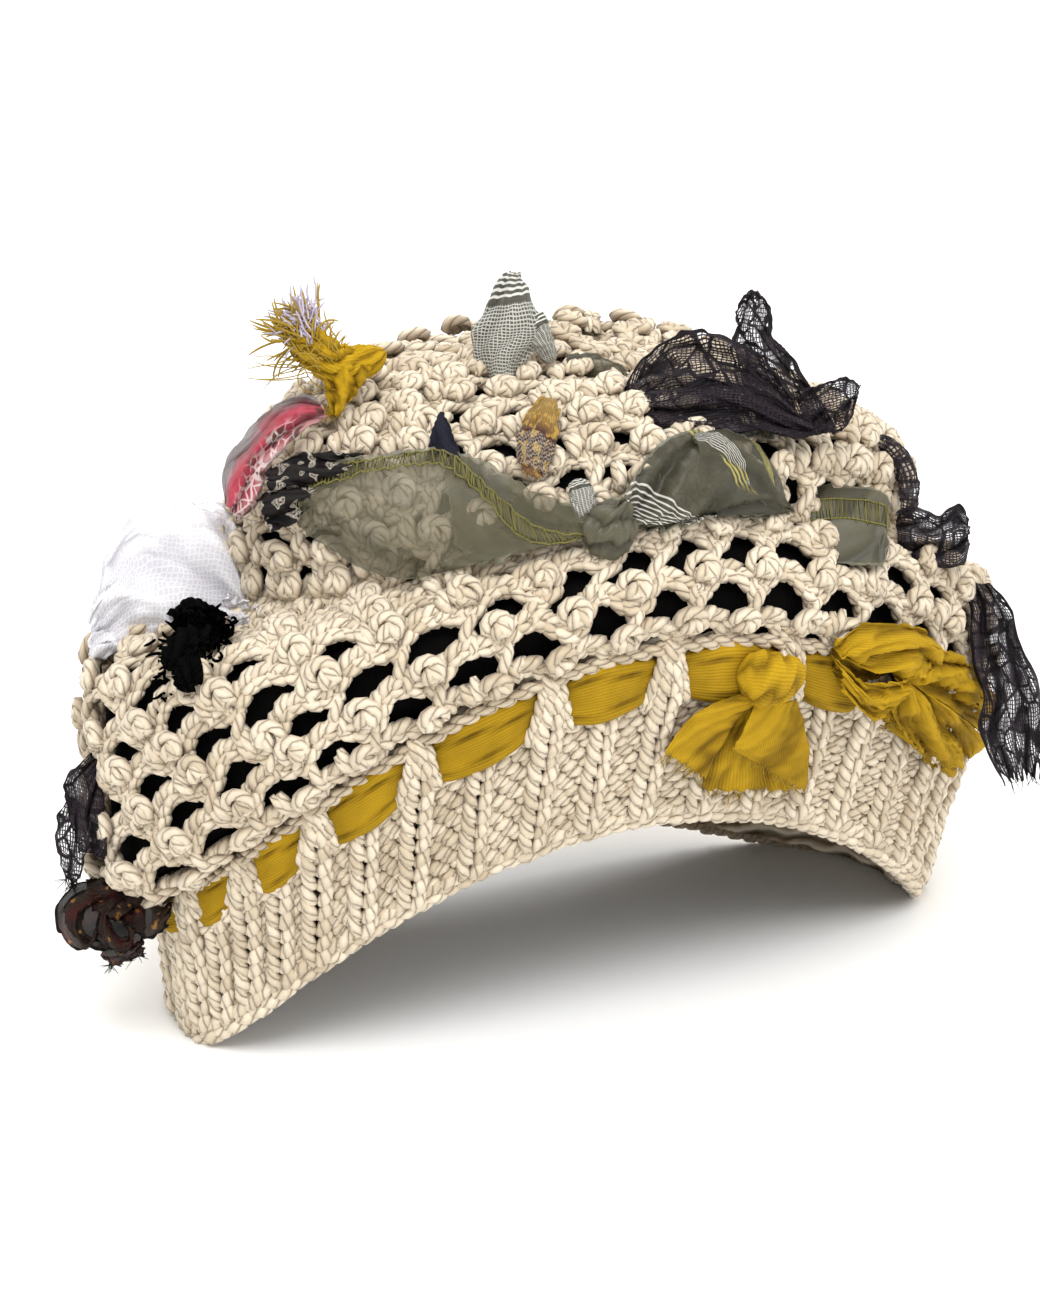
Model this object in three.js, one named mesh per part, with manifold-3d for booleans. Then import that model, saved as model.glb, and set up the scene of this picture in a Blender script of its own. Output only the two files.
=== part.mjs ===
// Crochet cap of thick cream yarn with a ribbed band, a two-tier openwork crown, a thin black
// lining and tied-on strips of cloth. Millimetres, +Z up, the rim resting on z = 0,
// X from the left rim corner to the right one, the front towards -Y.
import * as THREE from 'three';
import { mergeVertices } from 'three/addons/utils/BufferGeometryUtils.js';
import Module from 'manifold-3d';

const wasm = await Module();
wasm.setup();

// Driving dimensions
const KNIT_HALF = 3.0;        // half the thickness of the knitted wall
const RIB_RISE = 1.8;         // how far a rib's crest stands over the wall
const VALLEY_SINK = 0.9;      // how far the wall sinks between ribs
const GAP = 0.3;              // clearance between two pieces
const LINING = 1.2;           // thickness of the lining
const RIM_DIP = 1.2;          // how far the rim sags below z = 0 before it is pressed flat
const CHANNEL_LOW = 1.36;     // section levels between which the ribbon runs
const CHANNEL_HIGH = 1.95;
const COLLAR_TOP = 2.08;      // section level where the band ends
const NET_BOTTOM = 2.22;      // section level where the openwork starts
const CHANNEL_WALL = 2.0;     // thickness of the wall behind the ribbon
const RIBBON_FACE = 0.9;      // face of the ribbon under a loop, from the middle of the wall
const LOOP_NEAR = 1.9;        // back of a loop, which clears the ribbon where the band turns
const LOOP_RISE = 5.0;        // how far a loop's face stands from the middle of the wall
const LOOP_SHOULDER = 0.7;    // width of a loop's face as a share of its back
const CHANNEL_PLAY = 0.03;    // how far, in levels, the ribbon stays clear of its channel's edges
const RIBBON_SLOPE = 0.12;    // how many levels the ribbon's edges take to curl inwards
const CUT_CLEARANCE = 1.5 * GAP;  // how much a neighbour is grown before it is cut away
const CENTRE_X = -9.3;        // middle of the dressed cap's box, moved to the origin
const CENTRE_Y = 8.4;
const EYE_DISTANCE = 950;     // the three-quarter sight line on which ornaments are set out
const SIGHT_AZIMUTH = -24;
const SIGHT_ELEVATION = 22;
const SIGHT_PIVOT = new THREE.Vector3(-14.7, 7.1, 96.3);

// Sections through the middle of the knitted wall, from the rim to the crown's centre: how far
// the outline reaches left, right, front and back, its height at those four places, the
// exponents that round its front and back plan, and the one that arches its back.
const SECTION_COLUMNS = ['left', 'right', 'front', 'back', 'zLeft', 'zRight', 'zFront', 'zBack',
  'frontRound', 'backRound', 'backArch'];
const SECTION_ROWS = [
  [-118, 111, -43, 59, 0, 0, 63, 21, 1.10, 0.75, 4.0],        // rim
  [-119, 118, -49, 65, 27, 24, 92, 42, 1.08, 0.78, 3.0],      // middle of the band
  [-122, 125, -53, 69, 46, 47, 117, 62, 1.05, 0.82, 2.5],     // top of the ribbon
  [-137, 132, -55, 75, 47, 57, 123, 72, 1.00, 0.90, 2.0],     // foot of the lower tier
  [-139, 134, -55, 79, 76, 73, 129, 88, 1.00, 0.95, 2.0],     // widest part of the tier
  [-136, 132, -51, 77, 106, 95, 135, 107, 1.00, 1.00, 2.0],   // shoulder
  [-116, 117, -46, 71, 114, 103, 141, 118, 1.00, 1.00, 2.0],  // shelf
  [-96, 105, -40, 66, 120, 109, 147, 127, 1.00, 1.00, 2.0],   // neck between the tiers
  [-94, 105, -38, 63, 143, 130, 158, 147, 1.00, 1.00, 2.0],   // side of the upper tier
  [-84, 95, -30, 58, 163, 147, 166, 165, 1.00, 1.00, 2.0],    // edge of the crown's top
  [-60, 63, -12, 47, 177, 163, 174, 178, 1.00, 1.00, 2.0],    // top
  [4, 4, 17, 17, 179, 179, 179, 179, 1.00, 1.00, 2.0],        // centre
];
const TOP_LEVEL = SECTION_ROWS.length - 1;
const FRONT_ARCH = 1.8;
const UPRIGHT_HEIGHT = 104;   // height by which a section's middle has moved back to its own centre

// Angles, in degrees, of the ribs that rise over the ribbon. They stand closer at the left
// corner, where the band is squeezed. 270 is the middle of the front.
const LOOP_ANGLES = [0, 24, 46, 68, 90, 112, 134, 156, 174, 191, 206, 220, 236, 254, 270, 288,
  305, 325, 343];

function sectionAt(level) {
  const row = Math.min(Math.max(Math.floor(level), 0), TOP_LEVEL - 1);
  const t = level - row;
  const rows = [Math.max(row - 1, 0), row, row + 1, Math.min(row + 2, TOP_LEVEL)];
  const section = {};
  SECTION_COLUMNS.forEach((column, index) => {
    const [before, start, end, after] = rows.map((entry) => SECTION_ROWS[entry][index]);
    const startSlope = (end - before) / 2;
    const endSlope = (after - start) / 2;
    section[column] = (2 * t ** 3 - 3 * t ** 2 + 1) * start + (t ** 3 - 2 * t ** 2 + t) * startSlope
      + (3 * t ** 2 - 2 * t ** 3) * end + (t ** 3 - t ** 2) * endSlope;
  });
  return section;
}

// A point on the middle of the knitted wall
function capPoint(angle, level) {
  const s = sectionAt(level);
  const across = Math.cos(angle);
  const along = Math.sin(angle);
  const upright = Math.min(1, (s.zLeft + s.zRight) / (2 * UPRIGHT_HEIGHT));
  const middleY = upright * (s.front + s.back) / 2;
  const sideZ = s.zLeft + (s.zRight - s.zLeft) * (across + 1) / 2;
  const isFront = along < 0;
  const reach = isFront ? s.front : s.back;
  const round = isFront ? s.frontRound : s.backRound;
  const farZ = isFront ? s.zFront : s.zBack;
  const arch = isFront ? FRONT_ARCH : s.backArch;
  const depth = Math.abs(along);
  return new THREE.Vector3(
    (s.left + s.right) / 2 + across * (s.right - s.left) / 2,
    middleY + (reach - middleY) * depth ** round,
    sideZ + (farZ - sideZ) * depth ** arch,
  );
}

function capNormal(angle, level) {
  const angleStep = 0.04;
  const levelStep = 0.08;
  const high = Math.min(level, TOP_LEVEL - levelStep);
  const around = capPoint(angle + angleStep, high).sub(capPoint(angle - angleStep, high));
  const up = capPoint(angle, high + levelStep).sub(capPoint(angle, Math.max(high - levelStep, 0)));
  return around.cross(up).normalize();
}

function capOffset(angle, level, out) {
  if (level > TOP_LEVEL - 0.01) {
    return capPoint(angle, TOP_LEVEL).add(new THREE.Vector3(0, 0, out));
  }
  return capPoint(angle, level).addScaledVector(capNormal(angle, level), out);
}

// Angles that part a section into equal lengths
function evenAngles(level, count) {
  const samples = 720;
  const lengths = [0];
  for (let k = 1; k <= samples; k += 1) {
    const from = capPoint((k - 1) * 2 * Math.PI / samples, level);
    const to = capPoint(k * 2 * Math.PI / samples, level);
    lengths.push(lengths[k - 1] + from.distanceTo(to));
  }
  const angles = [];
  let k = 0;
  for (let i = 0; i < count; i += 1) {
    const target = lengths[samples] * i / count;
    while (lengths[k + 1] < target) {
      k += 1;
    }
    const part = (target - lengths[k]) / (lengths[k + 1] - lengths[k]);
    angles.push((k + part) * 2 * Math.PI / samples);
  }
  return angles;
}

function makeGeometry(points, faces) {
  const geometry = new THREE.BufferGeometry();
  geometry.setAttribute('position', new THREE.Float32BufferAttribute(
    points.flatMap((p) => [p.x, p.y, p.z]), 3));
  geometry.setIndex(faces.flat());
  return geometry;
}

function quad(faces, a, b, c, d) {
  faces.push([a, b, c], [a, c, d]);
}

// A closed ring: pointAt(column, step) runs round the cap by columns and round its own
// section by steps, anticlockwise as seen looking along the ring
function ringSolid(columns, steps, pointAt) {
  const points = [];
  const faces = [];
  for (let i = 0; i < columns; i += 1) {
    for (let j = 0; j < steps; j += 1) {
      points.push(pointAt(i, j));
      const next = (i + 1) % columns;
      const above = (j + 1) % steps;
      quad(faces, i * steps + j, next * steps + j, next * steps + above, i * steps + above);
    }
  }
  return makeGeometry(points, faces);
}

// A domed wall between an outer and an inner offset, closed at the crown's centre, with cells
// left open where isOpen says so
function domeSolid(angles, levels, outer, inner, isOpen) {
  const columns = angles.length;
  const rings = levels.length;
  const points = [];
  const faces = [];
  [outer, inner].forEach((offset) => {
    levels.forEach((level) => angles.forEach((angle) => points.push(capOffset(angle, level, offset))));
    points.push(capOffset(0, TOP_LEVEL, offset));
  });
  const sideSize = columns * rings + 1;
  const at = (ring, column) => ring * columns + (column % columns);
  const wall = (a, b) => quad(faces, a, b, b + sideSize, a + sideSize);
  for (let r = 0; r < rings - 1; r += 1) {
    for (let c = 0; c < columns; c += 1) {
      const corners = [at(r, c), at(r, c + 1), at(r + 1, c + 1), at(r + 1, c)];
      if (isOpen(r, c)) {
        corners.forEach((corner, k) => wall(corner, corners[(k + 1) % 4]));
      } else {
        quad(faces, ...corners);
        quad(faces, ...corners.map((corner) => corner + sideSize).reverse());
      }
    }
  }
  for (let c = 0; c < columns; c += 1) {
    wall(at(0, c + 1), at(0, c));
    faces.push([at(rings - 1, c), at(rings - 1, c + 1), sideSize - 1]);
    faces.push([at(rings - 1, c + 1) + sideSize, at(rings - 1, c) + sideSize, 2 * sideSize - 1]);
  }
  return makeGeometry(points, faces);
}

// A filled copy of the cap's outside, used to trim what lies on it
function filledCap(angles, levels, outAt) {
  const columns = angles.length;
  const points = [];
  const faces = [];
  levels.forEach((level) => angles.forEach((angle) => {
    points.push(capOffset(angle, level, outAt(level)));
  }));
  const top = points.push(capOffset(0, TOP_LEVEL, outAt(TOP_LEVEL))) - 1;
  const bottom = points.push(new THREE.Vector3(0, 0, 0)) - 1;
  const at = (ring, column) => ring * columns + (column % columns);
  for (let c = 0; c < columns; c += 1) {
    for (let r = 0; r < levels.length - 1; r += 1) {
      quad(faces, at(r, c), at(r, c + 1), at(r + 1, c + 1), at(r + 1, c));
    }
    faces.push([at(levels.length - 1, c), at(levels.length - 1, c + 1), top]);
    faces.push([at(0, c + 1), at(0, c), bottom]);
  }
  return makeGeometry(points, faces);
}

// Sections joined from first to last, each a closed loop of the same number of points
function loftSolid(loops) {
  const steps = loops[0].length;
  const points = loops.flat();
  const faces = [];
  for (let i = 0; i < loops.length - 1; i += 1) {
    for (let j = 0; j < steps; j += 1) {
      const above = (j + 1) % steps;
      quad(faces, i * steps + j, i * steps + above, (i + 1) * steps + above, (i + 1) * steps + j);
    }
  }
  const last = (loops.length - 1) * steps;
  for (let j = 0; j < steps / 2 - 1; j += 1) {
    const mirror = steps - 1 - j;
    quad(faces, j, mirror, mirror - 1, j + 1);
    quad(faces, last + j, last + j + 1, last + mirror - 1, last + mirror);
  }
  return makeGeometry(points, faces);
}

function toManifold(geometry) {
  const merged = mergeVertices(geometry, 1e-4);
  return new wasm.Manifold(new wasm.Mesh({
    numProp: 3,
    vertProperties: new Float32Array(merged.attributes.position.array),
    triVerts: new Uint32Array(merged.index.array),
  }));
}

function toGeometry(solid) {
  const mesh = solid.getMesh();
  const geometry = new THREE.BufferGeometry();
  geometry.setAttribute('position', new THREE.BufferAttribute(mesh.vertProperties, 3));
  geometry.setIndex(new THREE.BufferAttribute(mesh.triVerts, 1));
  return geometry;
}

// The ribbed band: ribs and valleys below, a channel for the ribbon, a collar above it, and
// pointed loops over the ribbon at every second rib
const RIB_COUNT = LOOP_ANGLES.length * 2;
const BAND_COLUMNS = RIB_COUNT * 2;

function bandAngle(column) {
  const turns = Math.floor(column / BAND_COLUMNS);
  const place = (column - turns * BAND_COLUMNS) / 4;
  const index = Math.floor(place);
  const from = LOOP_ANGLES[index];
  const to = index + 1 < LOOP_ANGLES.length ? LOOP_ANGLES[index + 1] : LOOP_ANGLES[0] + 360;
  return THREE.MathUtils.degToRad(turns * 360 + from + (to - from) * (place - index));
}

function bandProfile(column) {
  const face = column % 2 === 0 ? KNIT_HALF + RIB_RISE : KNIT_HALF - VALLEY_SINK;
  const back = CHANNEL_WALL - KNIT_HALF;
  return [
    [0, face - 0.6],
    [CHANNEL_LOW - 0.1, face],
    [CHANNEL_LOW, back],
    [CHANNEL_HIGH, back],
    [CHANNEL_HIGH, KNIT_HALF - 0.8],
    [COLLAR_TOP, KNIT_HALF],
    [COLLAR_TOP, -KNIT_HALF],
    [0, -KNIT_HALF],
  ];
}

// Rows up a loop: level, half width, near face and far face from the middle of the wall
const LOOP_ROWS = [
  [CHANNEL_LOW - 0.14, 7.0, LOOP_NEAR, LOOP_RISE],
  [CHANNEL_HIGH - 0.2, 4.4, LOOP_NEAR, LOOP_RISE],
  [COLLAR_TOP - 0.03, 2.2, LOOP_NEAR, KNIT_HALF + 0.4],
];

function ribLoop(angle) {
  return loftSolid(LOOP_ROWS.map(([level, halfWidth, near, far]) => {
    const perRadian = capPoint(angle + 0.01, level).distanceTo(capPoint(angle - 0.01, level)) / 0.02;
    const reach = halfWidth / perRadian;
    return [
      capOffset(angle - reach, level, near),
      capOffset(angle - reach * LOOP_SHOULDER, level, far),
      capOffset(angle + reach * LOOP_SHOULDER, level, far),
      capOffset(angle + reach, level, near),
    ];
  }));
}

function makeBand() {
  const profiles = [bandProfile(0), bandProfile(1)];
  const ring = ringSolid(BAND_COLUMNS, profiles[0].length, (column, step) => {
    const [level, out] = profiles[column % 2][step];
    const point = capOffset(bandAngle(column), level, out);
    point.z -= RIM_DIP * Math.max(0, 1 - level);
    return point;
  });
  const loops = LOOP_ANGLES.map((angle) => toManifold(ribLoop(THREE.MathUtils.degToRad(angle))));
  const depth = 40;
  const floor = new THREE.BoxGeometry(400, 400, depth).translate(0, 0, -depth / 2);
  floor.deleteAttribute('normal');
  floor.deleteAttribute('uv');
  return loops.reduce((band, loop) => band.add(loop), toManifold(ring)).subtract(toManifold(floor));
}

// The ribbon in its channel, puffed out between the loops
function makeRibbon() {
  const low = CHANNEL_LOW + CHANNEL_PLAY;
  const high = CHANNEL_HIGH - CHANNEL_PLAY;
  const inner = CHANNEL_WALL - KNIT_HALF + GAP;
  const puffs = [0, 1.2, 2.2, 1.2];
  return ringSolid(BAND_COLUMNS, 4, (column, step) => {
    const outer = RIBBON_FACE + puffs[column % 4];
    const section = [
      [low, inner],
      [low + RIBBON_SLOPE, outer],
      [high - RIBBON_SLOPE, outer],
      [high, inner],
    ];
    const [level, out] = section[step];
    return capOffset(bandAngle(column), level, out);
  });
}

// Openwork crown: rows of gaps set like bricks, wide rows on the lower tier and sparser ones
// on the upper tier
const NET_COLUMNS = 52;
const NET_LEVELS = [NET_BOTTOM, 2.65, 3.2, 3.65, 4.2, 4.65, 5.15, 6.3, 7.4, 8.2, 9.0, 9.6, 10.3];
const GAP_ROWS = { 1: [2, 0], 3: [2, 1], 5: [2, 0], 8: [4, 1], 10: [4, 3] };
const NET_ANGLES = evenAngles(4, NET_COLUMNS);

function isNetGap(ring, column) {
  const row = GAP_ROWS[ring];
  return row !== undefined && column % row[0] === row[1];
}

const LINING_ANGLES = NET_ANGLES.filter((angle, column) => column % 2 === 0);
const LINING_LEVELS = [2.2, 3.2, 4.65, 6.3, 7.4, 9.0, 10.3];
const LINING_OUT = -KNIT_HALF - 2 * GAP;
const LIE = 0.6;              // how far a lying cloth's rows stand off, so its chords clear the cap

// Where an ornament may start: just off the ribs low down, just off the net above
function seatOffset(level) {
  const low = LOOP_RISE + GAP;
  const high = KNIT_HALF + GAP;
  const t = THREE.MathUtils.clamp((level - 2.1) / 0.4, 0, 1);
  return low + (high - low) * t;
}

const SEAT_COLUMNS = 104;
const seatAngles = Array.from({ length: SEAT_COLUMNS }, (_, k) => k * 2 * Math.PI / SEAT_COLUMNS);
const SEAT_LEVELS = [0, 0.5, 1, 1.5, 2.1, 2.35, ...NET_LEVELS.slice(1)];
const capSeat = toManifold(filledCap(seatAngles, SEAT_LEVELS, seatOffset));

// Sight lines: across to the right, up, and towards the eye, all in millimetres at the pivot
const azimuth = THREE.MathUtils.degToRad(SIGHT_AZIMUTH);
const elevation = THREE.MathUtils.degToRad(SIGHT_ELEVATION);
const towards = new THREE.Vector3(
  Math.sin(azimuth) * Math.cos(elevation),
  -Math.cos(azimuth) * Math.cos(elevation),
  Math.sin(elevation),
);
const acrossAxis = new THREE.Vector3(Math.cos(azimuth), Math.sin(azimuth), 0);
const upAxis = towards.clone().cross(acrossAxis);
const eye = SIGHT_PIVOT.clone().addScaledVector(towards, EYE_DISTANCE);

function sightDirection(across, up) {
  return SIGHT_PIVOT.clone().addScaledVector(acrossAxis, across).addScaledVector(upAxis, up)
    .sub(eye).normalize();
}

const HIT_COLUMNS = 144;
const HIT_STEP = 0.2;
const hitSurface = (() => {
  const points = [];
  const places = [];
  const faces = [];
  const rings = Math.round(TOP_LEVEL / HIT_STEP);
  for (let r = 0; r < rings; r += 1) {
    for (let c = 0; c <= HIT_COLUMNS; c += 1) {
      const angle = c * 2 * Math.PI / HIT_COLUMNS;
      points.push(capPoint(angle, r * HIT_STEP));
      places.push(angle, r * HIT_STEP);
      if (r > 0 && c > 0) {
        const here = r * (HIT_COLUMNS + 1) + c;
        const below = here - HIT_COLUMNS - 1;
        quad(faces, below - 1, below, here, here - 1);
      }
    }
  }
  const geometry = makeGeometry(points, faces);
  geometry.setAttribute('uv', new THREE.Float32BufferAttribute(places, 2));
  return new THREE.Mesh(geometry, new THREE.MeshBasicMaterial());
})();

// The angle and level where a sight line meets the cap
function seenAt(across, up) {
  const hits = new THREE.Raycaster(eye, sightDirection(across, up)).intersectObject(hitSurface);
  if (hits.length === 0) {
    throw new Error(`no cap at ${across}, ${up}`);
  }
  return { angle: hits[0].uv.x, level: hits[0].uv.y };
}

// Section shapes of cloth, in units of half width and depth. A sheet is a waved slab of one
// cloth thickness, a bundle is gathered cloth with an oval outline.
const SHEET_STEPS = 5;

function sheetLoop(centre, side, out, halfWidth, fold, thickness, waves, phase, bend) {
  const edge = [];
  for (let k = 0; k <= SHEET_STEPS; k += 1) {
    const place = 2 * k / SHEET_STEPS - 1;
    const rise = fold * Math.sin(Math.PI * waves * place + phase) - bend * (place * halfWidth) ** 2;
    edge.push([place * halfWidth, rise]);
  }
  const at = ([x, y], shift) => centre.clone().addScaledVector(side, x).addScaledVector(out, y + shift);
  return [
    ...edge.map((p) => at(p, -thickness / 2)),
    ...edge.reverse().map((p) => at(p, thickness / 2)),
  ];
}

function bundleLoop(centre, side, out, halfWidth, depth, lobes) {
  const steps = 10;
  const loop = [];
  for (let k = 0; k < steps; k += 1) {
    const turn = (k + 0.5) * 2 * Math.PI / steps;
    const swell = 1 + 0.1 * Math.cos(lobes * turn);
    loop.push(centre.clone()
      .addScaledVector(side, -halfWidth * swell * Math.cos(turn))
      .addScaledVector(out, -depth * swell * Math.sin(turn)));
  }
  return loop;
}

// Places of an ornament's rows. Lying ones follow the cap: across, up, lift off it, then half
// width and fold. Standing ones start at a root on the cap and their third value is how far
// they come towards the eye from it.
function rowPlaces(piece) {
  if (!piece.root) {
    return piece.rows.map(([across, up, lift, halfWidth, fold]) => {
      const { angle, level } = seenAt(across, up);
      const rise = seatOffset(level) + LIE + lift + fold + piece.thickness / 2;
      return { centre: capOffset(angle, level, rise), out: capNormal(angle, level), halfWidth, fold };
    });
  }
  const { angle, level } = seenAt(...piece.root);
  const root = capOffset(angle, level, seatOffset(level));
  const depth = root.clone().sub(eye).dot(towards);
  return piece.rows.map(([across, up, near, halfWidth, fold]) => {
    const direction = sightDirection(across, up);
    const centre = eye.clone().addScaledVector(direction, (depth + near) / direction.dot(towards));
    return { centre, out: towards, halfWidth, fold };
  });
}

function clothSolid(piece, grow = 0) {
  const places = rowPlaces(piece);
  const last = places.length - 1;
  const loops = places.map(({ centre, out, halfWidth, fold }, k) => {
    const before = places[Math.max(k - 1, 0)].centre;
    const after = places[Math.min(k + 1, last)].centre;
    const along = after.clone().sub(before).normalize();
    const longer = grow * ((k === last) - (k === 0));
    const side = out.clone().cross(along).normalize();
    const face = along.clone().cross(side);
    if (piece.bundle) {
      return bundleLoop(centre.addScaledVector(along, longer), side, face, halfWidth + grow,
        fold + grow, piece.bundle);
    }
    return sheetLoop(centre, side, face, halfWidth + grow, fold, piece.thickness + 3 * grow,
      piece.waves, piece.phase + k * piece.drift, piece.bend)
      .map((point) => point.addScaledVector(along, longer));
  });
  return toManifold(loftSolid(loops));
}

// Looks of the materials
const MATERIALS = {
  yarn: { color: 0xe9ddc9, roughness: 0.9, metalness: 0 },
  lining: { color: 0x0d0c0c, roughness: 0.95, metalness: 0 },
  mustard: { color: 0xc99a1a, roughness: 0.8, metalness: 0 },
  organza: { color: 0x6e6b55, roughness: 0.5, metalness: 0 },
  stripes: { color: 0xa9a79a, roughness: 0.6, metalness: 0 },
  lace: { color: 0x2a2228, roughness: 0.7, metalness: 0 },
  tulle: { color: 0xe3e0ea, roughness: 0.6, metalness: 0 },
  pink: { color: 0xc2475c, roughness: 0.6, metalness: 0 },
  print: { color: 0x4a4442, roughness: 0.6, metalness: 0 },
  navy: { color: 0x2b2a38, roughness: 0.7, metalness: 0 },
  gold: { color: 0x8a6a34, roughness: 0.6, metalness: 0 },
};

// Defaults of a cloth sheet
const SHEET = { thickness: 1.5, waves: 1.5, phase: 0.6, drift: 0.5, bend: 0.006 };

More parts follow.
